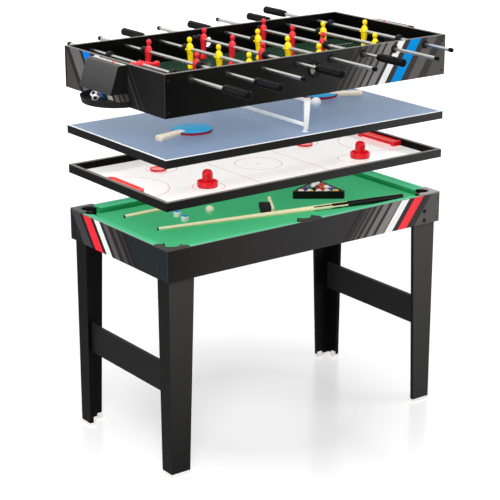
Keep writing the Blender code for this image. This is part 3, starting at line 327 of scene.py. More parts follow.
def leg_finish():
    """Laminated leg board in a white foot cap with a clip inside, with painted light: paler at its top and at
    the right, darker on its end faces and darkest on the back legs.
    """
    material, tree, shader = surface("laminated_leg_and_white_foot", Specular_IOR_Level=0.05)
    x, y, z = parts_of(tree)
    turned = parts_of(tree, "Normal")[1]
    clip_high, cap_high, leg_thick = 0.023, 0.0105, 0.0160
    inner_x, inner_y = HALF_LENGTH - PANEL - leg_thick, HALF_WIDTH - PANEL - leg_thick
    clip = (abs(x) < inner_x) & (abs(y) < inner_y) & (z < clip_high)
    cap = clip | (z < cap_high)
    # Painted light: the film is paler toward the top and on the right legs, darker on the faces turned to the
    # ends, and near black on the back legs, as the light falls
    height = z.spread(0.0, 0.70)
    film = blended(x > 0.0, blended(height, "1d1c1c", "3a3938"), blended(height, "323131", "484746"))
    film = blended(abs(turned) > 0.5, "151515", film)
    film = blended(y > 0.0, film, "0a0a0a")
    grain(tree, shader, blended(cap, film, "f0eeea"), 1.5, 0.06, 0.10, 0.38)
    return material


def wood(name, pale, dark, grain_mm, rough):
    """Sanded and lacquered wood: long darker growth lines under a thin gloss."""
    material, tree, shader = surface(name, IOR=1.5, Coat_Weight=0.25, Coat_Roughness=0.2)
    where = add(tree, "ShaderNodeTexCoord").outputs["Object"]
    # The growth lines are drawn four times as coarse as they are, so that they show
    coarser = 4
    lines = Value(tree, add(tree, "ShaderNodeTexNoise", {
        "Vector": where, "Scale": 1000 / grain_mm / coarser, "Detail": 5.0,
        "Distortion": 0.4}).outputs["Fac"])
    paint = blended(lines.spread(0.35, 0.7), pale, dark)
    gloss = lines.spread(0.0, 1.0, rough - 0.05, rough + 0.08)
    laid_on(tree, shader, paint, gloss, lines, 0.06, 0.0003)
    return material


def ice_finish():
    """Gloss white laminate with thin printed red lines and fine air holes, which mirrors the rim."""
    material, tree, shader = surface("printed_gloss_laminate", IOR=1.5, Specular_IOR_Level=0.15)
    x, y, z = parts_of(tree)
    far_x, far_y = abs(x), abs(y)
    half, goal_line, side_line, blue_line = 0.0015, 0.575, 0.275, 0.152
    middle_ring, goal_ring, face_off_ring = 0.088, 0.150, 0.0575
    marks = away_from(x, y).near(middle_ring, half) | far_x.near(blue_line, half)
    for sx in (-1, 1):
        marks |= away_from(x, y, (sx * goal_line, 0.0)).near(goal_ring, half)
    for sx, sy in CORNERS:
        marks |= away_from(x, y, (sx * 0.330, sy * 0.150)).near(face_off_ring, half)
    marks &= (far_x < goal_line) & (far_y < side_line)
    dashes = (y * 500.0).worked("SINE") > 0.0
    marks |= x.near(0.0, half * 0.7) & dashes & (far_y > middle_ring)
    marks |= (far_x < 0.010) & (far_y < 0.0022)
    paint = blended(marks, "fcfcfc", "dd9a9a")
    # The air holes are about 1 mm across on a 25 mm grid, finer than a pixel in the photograph
    hole_pitch, hole_radius = 0.025, 0.0006
    hole_x, hole_y = (place.worked("WRAP", hole_pitch / 2, hole_pitch / -2) for place in (x, y))
    paint = blended(away_from(hole_x, hole_y) < hole_radius, paint, "9a9a9a")
    paint = blended(z < ICE - 0.001, paint, "9c8163")
    grain(tree, shader, paint, 6.0, 0.004, 0.015, 0.09)
    return material


def tennis_finish():
    """Blue sprayed board with a white border, a black banded edge with painted light that grows lighter
    toward the right, and raw fibreboard underneath.
    """
    material, tree, shader = surface("sprayed_blue_board", Specular_IOR_Level=0.12)
    x, y, z = parts_of(tree)
    far_x, far_y, line = abs(x), abs(y), 0.0085
    border = (far_x > HALF_LENGTH - line) | (far_y > HALF_WIDTH - line)
    below = z < BOARD_TOP - 0.0006
    # Painted light: the long edges grow lighter toward the right
    edge = blended(far_y > HALF_WIDTH - LONG_SKIN, "090909", along_table(x, TENNIS_PAINTED_LIGHT))
    paint = blended(below, blended(border, "7f92ad", "f4f5f7"), edge)
    under = (far_x < HALF_LENGTH - 0.002) & (far_y < HALF_WIDTH - 0.002) & below
    grain(tree, shader, blended(under, paint, "7d736a"), 1.6, 0.06, 0.05, 0.40)
    return material


def field_finish():
    """Dark green printed laminate with white pitch lines, half glossy."""
    material, tree, shader = surface("printed_green_laminate", Specular_IOR_Level=0.5)
    x, y, _ = parts_of(tree)
    far_x, far_y = abs(x), abs(y)
    half = 0.0016
    lines = x.near(0.0, half) | away_from(x, y).near(0.085, half)
    # The penalty area and the goal area, as their reach into the field and half their width
    for reach, wide in ((0.19, 0.19), (0.09, 0.115)):
        edge = HALF_LENGTH - PANEL - reach
        lines |= far_x.near(edge, half) & (far_y < wide)
        lines |= far_y.near(wide, half) & (far_x > edge)
    grain(tree, shader, blended(lines, "273f30", "dfe6e1"), 2.0, 0.03, 0.06, 0.22)
    return material


def goal_finish():
    """Matt moulded ball return, with the end panel's print showing where its thin back lies on it, and
    painted light on the hood: its face paler toward the top and its sides dark.
    """
    material, tree, shader = surface("moulded_ball_return", Specular_IOR_Level=0.2)
    x, y, z = parts_of(tree)
    turned = parts_of(tree, "Normal")[1]
    hood_low, back_reach, slope = BOX_LOW + 0.047, HALF_LENGTH + 0.0036, 0.62
    # Painted light: the hood's face grows paler toward its top
    face = blended(z.spread(hood_low + 0.002, BOX_TOP - 0.008), "2c2b2b", "474646")
    # Painted shade: the hood's sides, turned along the table, are drawn near black like the tray under it
    hood = blended((abs(turned) < 0.5) & (z > hood_low), "0b0b0b", face)
    value = y * x.worked("SIGN") * -1.0 - (z - BOX_LOW) * slope
    paint = blended(abs(x) < back_reach, hood, banded(value, END_BANDS))
    grain(tree, shader, paint, 0.9, 0.12, 0.08, 0.50)
    return material


def chromed():
    """Plated steel tube: grey and half bright, with coarse turning marks across it from its polishing."""
    material, tree, shader = surface("plated_steel_tube", Metallic=1.0)
    grain(tree, shader, "cdcdcb", 9.0, 0.10, 0.16, 0.30, stretch=(0.4, 3.0, 0.4))
    return material


def resin():
    """Cast and polished resin, deep and glossy; the mesh holds the colours of its rings and patches."""
    material, tree, shader = surface("polished_phenolic_resin", IOR=1.55, Coat_Weight=0.6,
                                     Coat_Roughness=0.05)
    paint = add(tree, "ShaderNodeAttribute", attribute_name="paint").outputs["Color"]
    grain(tree, shader, paint, 4.0, 0.01, 0.04, 0.12)
    return material


POCKET = pocket_finish()
LEG = leg_finish()
GOAL = goal_finish()
STEEL = chromed()
RESIN = resin()

# Moulded plastic: shiny on figures, pushers and markers, satin on the rest, ribbed grips near black
BLACK = moulded("moulded_black_abs", "0a0a0a", 0.34, gloss=0.2)
GRIP = moulded("moulded_ribbed_grip", "040404", 0.30, 1.0, 0.04, gloss=0.09)
RED = moulded("moulded_red_abs", "e01024", 0.20, 2.0, 0.02, 0.04)
# Painted highlight: a pale red for the tops of the puck dishes and the goals' recesses, where the gloss would
# show the light
RED_PAINTED_HIGHLIGHT = moulded("red_abs_painted_highlight", "ff6a62", 0.16, 1.0, 0.03, 0.02)
TEAM_RED = moulded("moulded_red_figures", "e0202c", 0.30, 2.0, 0.03, 0.05)
TEAM_YELLOW = moulded("moulded_yellow_figures", "ffdc00", 0.30, 2.0, 0.03, 0.05)
WHITE = moulded("moulded_white_abs", "fbfbf9", 0.32, 2.0, 0.03, 0.02)
SCALE = moulded("moulded_pale_scale", "c2c0bb", 0.35, 2.0, 0.03, 0.03)
FERRULE = moulded("turned_ferrule", "e0e4d8", 0.32, 1.0, 0.03)
CELLULOID = moulded("matt_white_celluloid", "fbfcfe", 0.55, 1.0, 0.05, 0.02)
HAIR = moulded("black_nylon_bristle", "151313", 0.6, 0.5, 0.2)

# Rubber: dull, and finely pimpled on the paddles
RUBBER = moulded("moulded_black_rubber", "070707", 0.50, 0.8, 0.15, gloss=0.2)
BLUE_RUBBER = moulded("pimpled_blue_rubber", "2fa4d8", 0.50, 1.8, 0.35)
RED_RUBBER = moulded("pimpled_red_rubber", "b8142c", 0.50, 1.8, 0.35)

# Blackened steel: small dark heads with a slight shine
SCREW = moulded("blackened_steel_screw", "030303", 0.22, 0.6, 0.10, gloss=0.22)

# Leather, paper, chalk, tape and cord: matt and slightly uneven
TIP = moulded("pressed_leather_tip", "38362f", 0.8, 0.5, 0.3)
PAPER = moulded("printed_white_paper", "ffffff", 0.6, 0.8, 0.05)
CHALK = moulded("pressed_blue_chalk", "2b8fd0", 0.9, 0.6, 0.5, 0.14)
EDGE_TAPE = moulded("dark_red_edge_tape", "8e1030", 0.45, 1.2, 0.05)
NET_TAPE = moulded("woven_white_tape", "ffffff", 0.7, 0.8, 0.25)
NET_CORD = moulded("knitted_pale_cord", "93a5c2", 0.75, 0.8, 0.2)

# Wood: pale, with fine growth lines, and lacquered black on the cues' butts
SHAFT = wood("lacquered_cue_maple", "fdeeca", "edd9ad", 1.2, 0.28)
BUTT = moulded("black_lacquered_butt", "0f0e0e", 0.16, 3.0, 0.01)
BEECH = wood("sanded_beech", "f9ebc6", "ead6a6", 1.5, 0.45)
PLY = wood("sanded_poplar_ply", "fff4e2", "f4dfc0", 1.6, 0.45)


# Solids that keep their shape
def dress(node, finish):
    """Gives a solid its finish."""
    piece = bpy.data.objects[node]
    piece.data.materials.clear()
    piece.data.materials.append(finish)


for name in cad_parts:
    if name.startswith("pocket"):
        dress(name, POCKET)
    elif name.startswith("leg_"):
        dress(name, LEG)
for side in ("front", "back", "left", "right"):
    long_side = side in ("front", "back")
    print_on_base = (side, APRON_LOW, BASE_SLOPE, BASE_BANDS if long_side else BASE_END_BANDS)
    dress("apron_" + side, board("laminated_apron_" + side, "0b0b0b", APRON_PAINTED_LIGHT, "20262a",
                                 print_on_base, RAIL_TOP, "5fc596"))
    panel = ("side_" if long_side else "end_") + side
    print_on_box = (side, BOX_LOW, BOX_SLOPE, BOX_BANDS if long_side else END_BANDS)
    dress("box_" + panel, board("laminated_box_" + panel, painted_light=BOX_PAINTED_LIGHT, printed=print_on_box,
                                top=BOX_TOP))
for node in ("stretcher_left", "stretcher_right"):
    dress(node, board("laminated_stretcher", "1e1e1f"))
for node, finish in (("bed", felt()), ("rack", BLACK), ("hockey_panel", ice_finish()),
                     ("tennis_board", tennis_finish()), ("field", field_finish()),
                     ("goal_left", GOAL), ("goal_right", GOAL)):
    dress(node, finish)
dress("hockey_frame", board("laminated_hockey_rim", "060606", HOCKEY_PAINTED_LIGHT, "141415", top=HOCKEY_TOP))


# Meshes and pieces
def placed(name, data):
    """A new object in the scene."""
    made = bpy.data.objects.new(name, data)
    bpy.context.scene.collection.objects.link(made)
    return made


def smoothed(mesh, angle):
    """Smooth faces, with a sharp edge where they meet at more than an angle in degrees."""
    for face in mesh.polygons:
        face.use_smooth = True
    mesh.set_sharp_from_angle(angle=math.radians(angle))


def settled(name, mesh, body, stands_for):
    """Makes a mesh a piece that rides on its body, in the place of the solids that it stands for."""
    piece = placed(name, mesh)
    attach(piece, body)
    if stands_for:
        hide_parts(*stands_for)
    return piece


def finished(name, work, finishes, body, stands_for=(), angle=38):
    """Makes the worked mesh a piece: smooth, with its finishes, riding on its body."""
    bmesh.ops.remove_doubles(work, verts=work.verts, dist=1e-7)
    bmesh.ops.recalc_face_normals(work, faces=work.faces)
    mesh = bpy.data.meshes.new(name)
    work.to_mesh(mesh)
    work.free()
    for finish in finishes:
        mesh.materials.append(finish)
    smoothed(mesh, angle)
    return settled(name, mesh, body, stands_for)


def skin(work, rings, finish=0):
    """Faces between rings of points, closed at both ends."""
    for low, high in zip(rings, rings[1:]):
        count = max(len(low), len(high))
        for i in range(count):
            j = (i + 1) % count
            corners = [low[i % len(low)], low[j % len(low)], high[j % len(high)], high[i % len(high)]]
            unique = list(dict.fromkeys(corners))
            if len(unique) > 2:
                work.faces.new(unique).material_index = finish
    for ring in (rings[0], rings[-1]):
        if len(ring) > 2:
            work.faces.new(ring).material_index = finish


def lathe(work, profile, sides, where=Matrix(), finish=0, wave=None):
    """Turns (radius, height) points round local Z; wave shifts the radius by angle, height and radius."""
    rings = []
    for radius, height in profile:
        if radius < 1e-6:
            rings.append([work.verts.new(where @ Vector((0, 0, height)))])
            continue
        ring = []
        for i in range(sides):
            turn = math.tau * i / sides
            r = radius + (wave(turn, height, radius) if wave else 0.0)
            ring.append(work.verts.new(where @ Vector((r * math.cos(turn), r * math.sin(turn), height))))
        rings.append(ring)
    skin(work, rings, finish)


def bored(work, outline, sides, where=Matrix()):
    """Turns a closed outline of (radius, height) points round local Z into a ring with a hole."""
    turns = [math.tau * i / sides for i in range(sides)]
    rings = [[work.verts.new(where @ Vector((r * math.cos(a), r * math.sin(a), height))) for a in turns]
             for r, height in outline]
    for one, two in zip(rings, rings[1:] + rings[:1]):
        for i in range(sides):
            j = (i + 1) % sides
            work.faces.new([one[i], one[j], two[j], two[i]])


def eased(profile, by, steps=3):
    """Rounds the inner corners of a profile."""
    out = [profile[0]]
    for before, at, after in zip(profile, profile[1:], profile[2:]):
        a, b, c = Vector(before), Vector(at), Vector(after)
        reach = min(by, (a - b).length * 0.45, (c - b).length * 0.45)
        start, end = b + (a - b).normalized() * reach, b + (c - b).normalized() * reach
        for i in range(steps + 1):
            t = i / steps
            out.append(tuple(start * (1 - t) ** 2 + b * 2 * t * (1 - t) + end * t ** 2))
    out.append(profile[-1])
    return out


def squared(count, power, wide, high):
    """Points round a rounded rectangle: power 1 gives an ellipse, and less is squarer."""
    points = []
    for i in range(count):
        across, up = math.cos(math.tau * i / count), math.sin(math.tau * i / count)
        points.append((math.copysign(abs(across) ** power, across) * wide,
                       math.copysign(abs(up) ** power, up) * high))
    return points


def block(work, one, other, edge=0.001, where=Matrix(), finish=0, segments=2):
    """A board with eased edges between two opposite corners."""
    made = bmesh.ops.create_cube(work, size=1.0)["verts"]
    size = Vector([abs(b - a) for a, b in zip(one, other)])
    middle = (Vector(one) + Vector(other)) / 2
    for vert in made:
        vert.co = Vector((vert.co.x * size.x, vert.co.y * size.y, vert.co.z * size.z)) + middle
    edges = list({e for v in made for e in v.link_edges})
    result = bmesh.ops.bevel(work, geom=edges, offset=edge, segments=segments, profile=0.5, affect="EDGES")
    verts = {v for f in result["faces"] for v in f.verts} | {v for v in made if v.is_valid}
    for vert in verts:
        vert.co = where @ vert.co
    for face in {f for v in verts for f in v.link_faces}:
        face.material_index = finish


def ball(work, centre, radius, painter=None, turn=Matrix(), sides=36, levels=24):
    """A ball; a painter gives its faces their colour from the direction that they face."""
    made = bmesh.ops.create_uvsphere(work, u_segments=sides, v_segments=levels, radius=radius)["verts"]
    if painter:
        layer = work.loops.layers.float_color.get("paint") or work.loops.layers.float_color.new("paint")
        for face in {f for v in made for f in v.link_faces}:
            colour = painter(face.calc_center_median().normalized())
            for loop in face.loops:
                loop[layer] = colour
    for vert in made:
        vert.co = Vector(centre) + turn.to_3x3() @ vert.co


def along(start, end):
    """A matrix whose Z axis runs from start towards end."""
    way = (Vector(end) - Vector(start)).normalized()
    return Matrix.Translation(start) @ way.to_track_quat("Z", "Y").to_matrix().to_4x4()


def on_cloth(x, y, turn, lift=0.0):
    """A matrix for a thing that lies on the cloth, turned by an angle in radians."""
    return Matrix.Translation((x, y, CLOTH_TOP + lift)) @ Matrix.Rotation(turn, 4, "Z")


def middle_of(node):
    """A solid's centre and its half sizes."""
    low, high = (Vector(corner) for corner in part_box(node))
    return (low + high) / 2, (high - low) / 2


def foot_of(node):
    """A matrix at the middle of a solid's foot, and the solid's height."""
    centre, half = middle_of(node)
    return Matrix.Translation((centre.x, centre.y, centre.z - half.z)), half.z * 2


def new_inputs(tree, **kinds):
    """Adds named inputs to a tree of geometry nodes and gives each one's identifier."""
    face = tree.interface
    return {label: face.new_socket(label, in_out="INPUT", socket_type="NodeSocket" + kind).identifier
            for label, kind in kinds.items()}


def realised(tree, copied, finish, label):
    """Ends a tree of geometry nodes: real meshes in their finish, as the named output."""
    tree.interface.new_socket(label, in_out="OUTPUT", socket_type="NodeSocketGeometry")
    real = add(tree, "GeometryNodeRealizeInstances", {"Geometry": copied.outputs[0]})
    dressed = add(tree, "GeometryNodeSetMaterial", {"Geometry": real.outputs[0], "Material": finish})
    add(tree, "NodeGroupOutput", {label: dressed.outputs[0]})


def tree_of_copies():
    """Geometry nodes that set a head on every point, turned to the point's facing, with a seeded wobble."""
    tree = bpy.data.node_groups.new("heads_on_points", "GeometryNodeTree")
    tree.interface.new_socket("Points", in_out="INPUT", socket_type="NodeSocketGeometry")
    sockets = new_inputs(tree, Head="Object", Finish="Material", Wobble="Float", Seed="Int")
    given = add(tree, "NodeGroupInput").outputs
    head = add(tree, "GeometryNodeObjectInfo", {"Object": given["Head"]})
    facing = add(tree, "GeometryNodeInputNamedAttribute", {"Name": "facing"}, data_type="FLOAT_VECTOR")
    wobble = add(tree, "FunctionNodeRandomValue", {
        "Min": (-1.0, -1.0, -1.0), "Max": (1.0, 1.0, 1.0), "Seed": given["Seed"]}, data_type="FLOAT_VECTOR")
    shaken = add(tree, "ShaderNodeVectorMath", {0: wobble.outputs[0], "Scale": given["Wobble"]},
                 operation="SCALE")
    aimed = add(tree, "ShaderNodeVectorMath", {0: facing.outputs[0], 1: shaken.outputs[0]}, operation="ADD")
    turned = add(tree, "FunctionNodeAlignRotationToVector", {"Vector": aimed.outputs[0]}, axis="Z")
    spread = add(tree, "GeometryNodeInstanceOnPoints", {
        "Points": given["Points"], "Instance": head.outputs["Geometry"], "Rotation": turned.outputs[0]})
    realised(tree, spread, given["Finish"], "Copies")
    return tree, sockets


COPIES, COPY_SOCKETS = tree_of_copies()


def baked(name, carrier, tree, values, body, stands_for=(), helpers=()):
    """The plain mesh that a carrier's geometry nodes give with some values, as a piece."""
    modifier = carrier.modifiers.new("nodes", "NODES")
    modifier.node_group = tree
    for identifier, value in values.items():
        modifier[identifier] = value
    bpy.context.view_layer.update()
    graph = bpy.context.evaluated_depsgraph_get()
    mesh = bpy.data.meshes.new_from_object(carrier.evaluated_get(graph))
    mesh.name = name
    for helper in (carrier, *helpers):
        bpy.data.objects.remove(helper, do_unlink=True)
    return settled(name, mesh, body, stands_for)


def copies(name, head, spots, finish, body, wobble=0.0, seed=7, stands_for=()):
    """Sets a head, given as a worked mesh, on each (place, facing) spot as one piece."""
    mesh = bpy.data.meshes.new(name + "_head")
    bmesh.ops.recalc_face_normals(head, faces=head.faces)
    head.to_mesh(mesh)
    head.free()
    smoothed(mesh, 38)
    pattern = placed(name + "_head", mesh)
    points = bpy.data.meshes.new(name + "_points")
    points.from_pydata([tuple(place) for place, _ in spots], [], [])
    facing = points.attributes.new("facing", "FLOAT_VECTOR", "POINT")
    for item, (_, way) in zip(facing.data, spots):
        item.vector = way
    given = {"Head": pattern, "Finish": finish, "Wobble": wobble, "Seed": seed}
    values = {COPY_SOCKETS[label]: value for label, value in given.items()}
    baked(name, placed(name + "_points", points), COPIES, values, body, stands_for, (pattern,))


# Balls, cues, brush and chalks on the cloth
def pool_colours(code, ringed, spot):
    """Paints a pool ball: full colour, or white with a broad coloured ring, and a small white disc."""
    paint, white = hue(code), hue("f4f0e6")

    def painter(way):
        if way.dot(spot) > 0.93:
            return white
        return paint if not ringed or abs(way.z) < 0.52 else white
    return painter


def make_pool_balls():
    """Fifteen balls in the triangle, in the solids' places, and the cue ball."""
    radius, gap = 0.0165, 0.0003
    pitch, first = radius * 2 - 0.0002, radius + 0.0006
    corner = on_cloth(0.418 * HALF_LENGTH, -0.116 * HALF_WIDTH, math.radians(-36))
    colours = iter((("e8722c", 1), ("eab81c", 1), ("c92a2c", 1), ("d8c9a0", 1), ("f2c010", 0),
                    ("3f2a78", 0), ("161414", 0), ("c22a28", 0), ("2748a0", 0), ("14706a", 1),
                    ("8c2a30", 0), ("e87020", 1), ("20356e", 1), ("c8402a", 0), ("1d3f86", 1)))
    draw = random.Random(5)
    work = bmesh.new()
    for line in range(5):
        for place in range(5 - line):
            across, up = (place - (4 - line) / 2) * pitch, first + line * pitch * math.sqrt(3) / 2
            centre = corner @ Vector((across, up, radius + gap))
            turn = Matrix.Rotation(draw.uniform(0, math.tau), 4, "Z")
            turn = turn @ Matrix.Rotation(draw.uniform(0.3, 1.3), 4, "X")
            spot = Vector((draw.uniform(-1, 1), draw.uniform(-1, 1), 0.1)).normalized()
            ball(work, centre, radius, pool_colours(*next(colours), spot), turn)
    finished("balls_in_triangle", work, [RESIN], "base", ("racked_balls",))
    work = bmesh.new()
    centre, half = middle_of("cue_ball")
    ball(work, centre, half.z, lambda way: hue("f1ead2"))
    finished("ivory_cue_ball", work, [RESIN], "base", ("cue_ball",))


def make_cue(node, start_share, aim_share):
    """A cue: leather tip, pale ferrule, maple shaft and a black butt spliced in four long points."""
    long, thin, thick = HALF_LENGTH * 2 * 0.7984, 0.0064, 0.0130
    ferrule_end, taper_start, cap = 0.017, 0.020, 0.004
    splice, points = 0.60 * long, 0.17 * long
    start = Vector((start_share[0] * HALF_LENGTH, start_share[1] * HALF_WIDTH, CLOTH_TOP + 0.0067))
    aim = Vector((aim_share[0] * HALF_LENGTH, aim_share[1] * HALF_WIDTH, start.z))
    rise = math.asin((thick - thin) / long)
    way = (aim - start).normalized() * math.cos(rise) + Vector((0, 0, math.sin(rise)))
    where = along(start, start + way)

    def radius_at(height):
        return thin + (thick - thin) * max(0.0, height - taper_start) / (long - taper_start - cap)

    heights = [0.003, ferrule_end] + [taper_start + (splice - taper_start) * i / 12 for i in range(13)]
    heights += [splice + points * i / 60 for i in range(1, 61)] + [long - cap]
    tip = [(0.0, 0.0), (thin - 0.0004, 0.0), (thin, 0.003)]
    butt_end = [(thick, long - cap), (thick, long - 0.003), (thick - 0.004, long), (0.0, long)]
    work = bmesh.new()
    lathe(work, eased(tip, 0.001), 24, where, 2)
    lathe(work, [(radius_at(height), height) for height in heights], 24, where, 1)
    lathe(work, eased(butt_end, 0.002), 24, where, 3)
    back = where.inverted()
    for face in work.faces:
        if face.material_index != 1:
            continue
        spot = back @ face.calc_center_median()
        turn = math.atan2(spot.y, spot.x)
        reach = splice + points * (0.5 + 0.5 * math.cos(4 * turn)) ** 0.8
        if spot.z < ferrule_end:
            face.material_index = 0
        elif spot.z > reach:
            face.material_index = 3
    finished(node + "_spliced", work, [FERRULE, SHAFT, TIP, BUTT], "base", (node,))


def make_brush():
    """A beech brush on its side: a straight back, a waisted handle and dense black bristles."""
    at = on_cloth(-0.006 * HALF_LENGTH, -0.269 * HALF_WIDTH, math.radians(58))
    long, back_long, half, neck, thick = 0.165, 0.086, 0.0105, 0.0045, 0.012
    lift, grip = half + 0.0003, long - back_long
    rows, hairs, margin = 11, 40, 0.0022
    # The wood from the bristles' end to the handle's: place and half height
    stations = ((0.0, half * 0.8), (0.002, half * 0.95), (0.005, half), (back_long, half),
                (back_long + grip * 0.1, half * 0.8), (back_long + grip / 4, neck), (long - grip / 2, neck),
                (long - grip / 4, neck * 1.1), (long - 0.008, half * 0.70), (long - 0.003, half * 0.74),
                (long, half * 0.6))
    work = bmesh.new()
    rings = []
    for a, high in stations:
        deep = thick / 2 * (0.85 if a in (0.0, long) else 1.0)
        rings.append([work.verts.new(at @ Vector((a, y - thick / 2, z + lift)))
                      for y, z in squared(24, 0.45, deep, high)])
    skin(work, rings)
    finished("beech_brush_back", work, [BEECH], "base", ("brush",))
    head = bmesh.new()
    lathe(head, [(0.00085, -0.001), (0.0008, 0.030), (0.00045, 0.0395)], 5)
    out = at.to_3x3() @ Vector((0, 1, 0))
    spots = []
    for i in range(hairs):
        for j in range(rows):
            a = margin + (back_long - margin * 2) * (i + 0.45 * (j % 2)) / (hairs - 0.5)
            z = lift - half + 0.002 + (half * 2 - 0.004) * j / (rows - 1)
            spots.append((at @ Vector((a, 0.0, z)), out))
    copies("black_brush_bristles", head, spots, HAIR, "base", 0.012, 11, ("brush",))


def make_chalks():
    """Two small chalk blocks: white paper sides and a blue face on top."""
    work = bmesh.new()
    for x, y, turn in ((-0.308, 0.083, 0.35), (-0.318, 0.019, 0.15)):
        at = on_cloth(x, y, turn, 0.0002)
        block(work, (-0.0100, -0.0100, 0.0), (0.0100, 0.0100, 0.0190), 0.0010, at)
        block(work, (-0.0098, -0.0098, 0.0188), (0.0098, 0.0098, 0.0212), 0.0011, at, 1)
    finished("cue_chalks", work, [PAPER, CHALK], "base")


# Hockey pushers, pucks and goals
def make_pushers_and_pucks():
    """Gloss red and turned: pushers with a rim, a knob and a felt pad, and pucks whose dish has a painted
    highlight in pale red.
    """
    sides = 56
    for node in ("pusher_left", "pusher_right"):
        at, high = foot_of(node)
        outline = ((0.0, 0.0018), (0.0355, 0.0018), (0.0370, 0.0028), (0.0370, 0.0215), (0.0318, 0.0215),
                   (0.0312, 0.0110), (0.0205, 0.0100), (0.0190, 0.032), (0.0190, high - 0.013),
                   (0.0160, high - 0.0040), (0.009, high), (0.0, high))
        pad = ((0.0, 0.0), (0.0352, 0.0), (0.0352, 0.0022), (0.0, 0.0022))
        work = bmesh.new()
        lathe(work, eased(outline, 0.0026, 5), sides, at)
        lathe(work, eased(pad, 0.0004), sides, at, 1)
        finished(node + "_turned", work, [RED, BLACK], "hockey_top", (node,), 60)
    for node in ("puck_left", "puck_right"):
        at = foot_of(node)[0]
        outline = ((0.0, 0.0), (0.0310, 0.0), (0.0310, 0.0070), (0.0272, 0.0070), (0.0262, 0.0046),
                   (0.012, 0.0044), (0.0, 0.0044))
        work = bmesh.new()
        lathe(work, eased(outline, 0.0010), sides, at)
        for face in work.faces:
            spot = face.calc_center_median() - at.translation
            # The dish is painted pale as a highlight
            in_highlit_dish = spot.z > 0.004 and math.hypot(spot.x, spot.y) < 0.0264
            face.material_index = 1 if in_highlit_dish else 0
        finished(node + "_turned", work, [RED, RED_PAINTED_HIGHLIGHT], "hockey_top", (node,), 60)


def make_hockey_goals():
    """Goals: a red slab with rounded inner corners and a recess on top with a painted highlight in pale red,
    raised on two feet.
    """
    deep, tall, mouth, foot, bend = 0.042, 0.0195, 0.0065, 0.020, 0.018
    # Heights over the ice, each with how far the slab is drawn in there
    levels = ((mouth, 0.0006), (mouth + 0.0006, 0.0), (tall - 0.0012, 0.0), (tall - 0.0004, 0.0005),
              (tall, 0.0014), (tall, 0.0075), (tall - 0.0006, 0.0083), (tall - 0.0045, 0.0088))
    turns = [math.pi / 2 * i / 8 for i in range(9)]

    def outline(wall, sx, half, less):
        """The slab seen from above, drawn in by less on three sides."""
        rim = [(wall, half - less), (wall - sx * 0.001, half - less)]
        for a in turns:
            out, over = deep - less - bend + bend * math.sin(a), half - less - bend + bend * math.cos(a)
            rim.append((wall - sx * out, over))
        return [(x, -y) for x, y in rim] + rim[::-1]

    for node, sx in (("hockey_goal_left", -1), ("hockey_goal_right", 1)):
        low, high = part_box(node)
        wall, half = sx * max(abs(low[0]), abs(high[0])), high[1]
        work = bmesh.new()
        skin(work, [[work.verts.new((x, y, ICE + z)) for x, y in outline(wall, sx, half, less)]
                    for z, less in levels])
        for side in (-1, 1):
            block(work, (wall, side * (half - 0.0008), ICE),
                  (wall - sx * (deep - 0.006), side * (half - foot), ICE + mouth + 0.0004), 0.0008)
        work.normal_update()
        for face in work.faces:
            # The recess's top faces are painted pale as a highlight
            recess = abs(face.normal.z) > 0.7 and face.calc_center_median().z > ICE + tall - 0.008
            face.material_index = 1 if recess else 0
        finished(node + "_moulded", work, [RED, RED_PAINTED_HIGHLIGHT], "hockey_top", (node,), 40)


# The net, paddles and ball of the tennis top
def tree_of_net():
    """Geometry nodes that lay a cord along every line of a grid."""
    tree = bpy.data.node_groups.new("cord_net", "GeometryNodeTree")
    sockets = new_inputs(tree, Wide="Float", High="Float", Thread="Float", Columns="Int", Rows="Int",
                         Finish="Material")
    given = add(tree, "NodeGroupInput").outputs
    grid = add(tree, "GeometryNodeMeshGrid", {"Size X": given["Wide"], "Size Y": given["High"],
                                              "Vertices X": given["Columns"], "Vertices Y": given["Rows"]})
    lines = add(tree, "GeometryNodeMeshToCurve", {"Mesh": grid.outputs["Mesh"]})
    section = add(tree, "GeometryNodeCurvePrimitiveCircle", {"Resolution": 4, "Radius": given["Thread"]})
    cord = add(tree, "GeometryNodeCurveToMesh", {
        "Curve": lines.outputs[0], "Profile Curve": section.outputs[0]})
    realised(tree, cord, given["Finish"], "Net")
    return tree, sockets


def make_net():
    """A knitted cord net between two white tapes, on two white posts."""
    low, high = (Vector(corner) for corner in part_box("net"))
    half, bottom, tape = high.y - 0.0006, low.z + 0.019, 0.0135
    width, height = half * 2, high.z - bottom - tape * 2
    columns, rows, thread = 73, 12, 0.00045
    tree, sockets = tree_of_net()
    given = {"Wide": width, "High": height + 0.004, "Thread": thread, "Columns": columns, "Rows": rows,
             "Finish": NET_CORD}
    carrier = placed("net_carrier", bpy.data.meshes.new("net_carrier"))
    values = {sockets[label]: value for label, value in given.items()}
    net = baked("cord_net", carrier, tree, values, "tennis_top", ("net",))
    upright = Matrix.Rotation(math.pi / 2, 4, "Z") @ Matrix.Rotation(math.pi / 2, 4, "X")
    net.data.transform(Matrix.Translation((0.0, 0.0, (bottom + high.z) / 2)) @ upright)
    work = bmesh.new()
    for start in (bottom, high.z - tape):
        block(work, (-0.0011, -half, start), (0.0011, half, start + tape), 0.0005)
    tapes = finished("net_tapes", work, [NET_TAPE], "tennis_top", ("net",))
    make_net_posts(low.z, high.z, half)


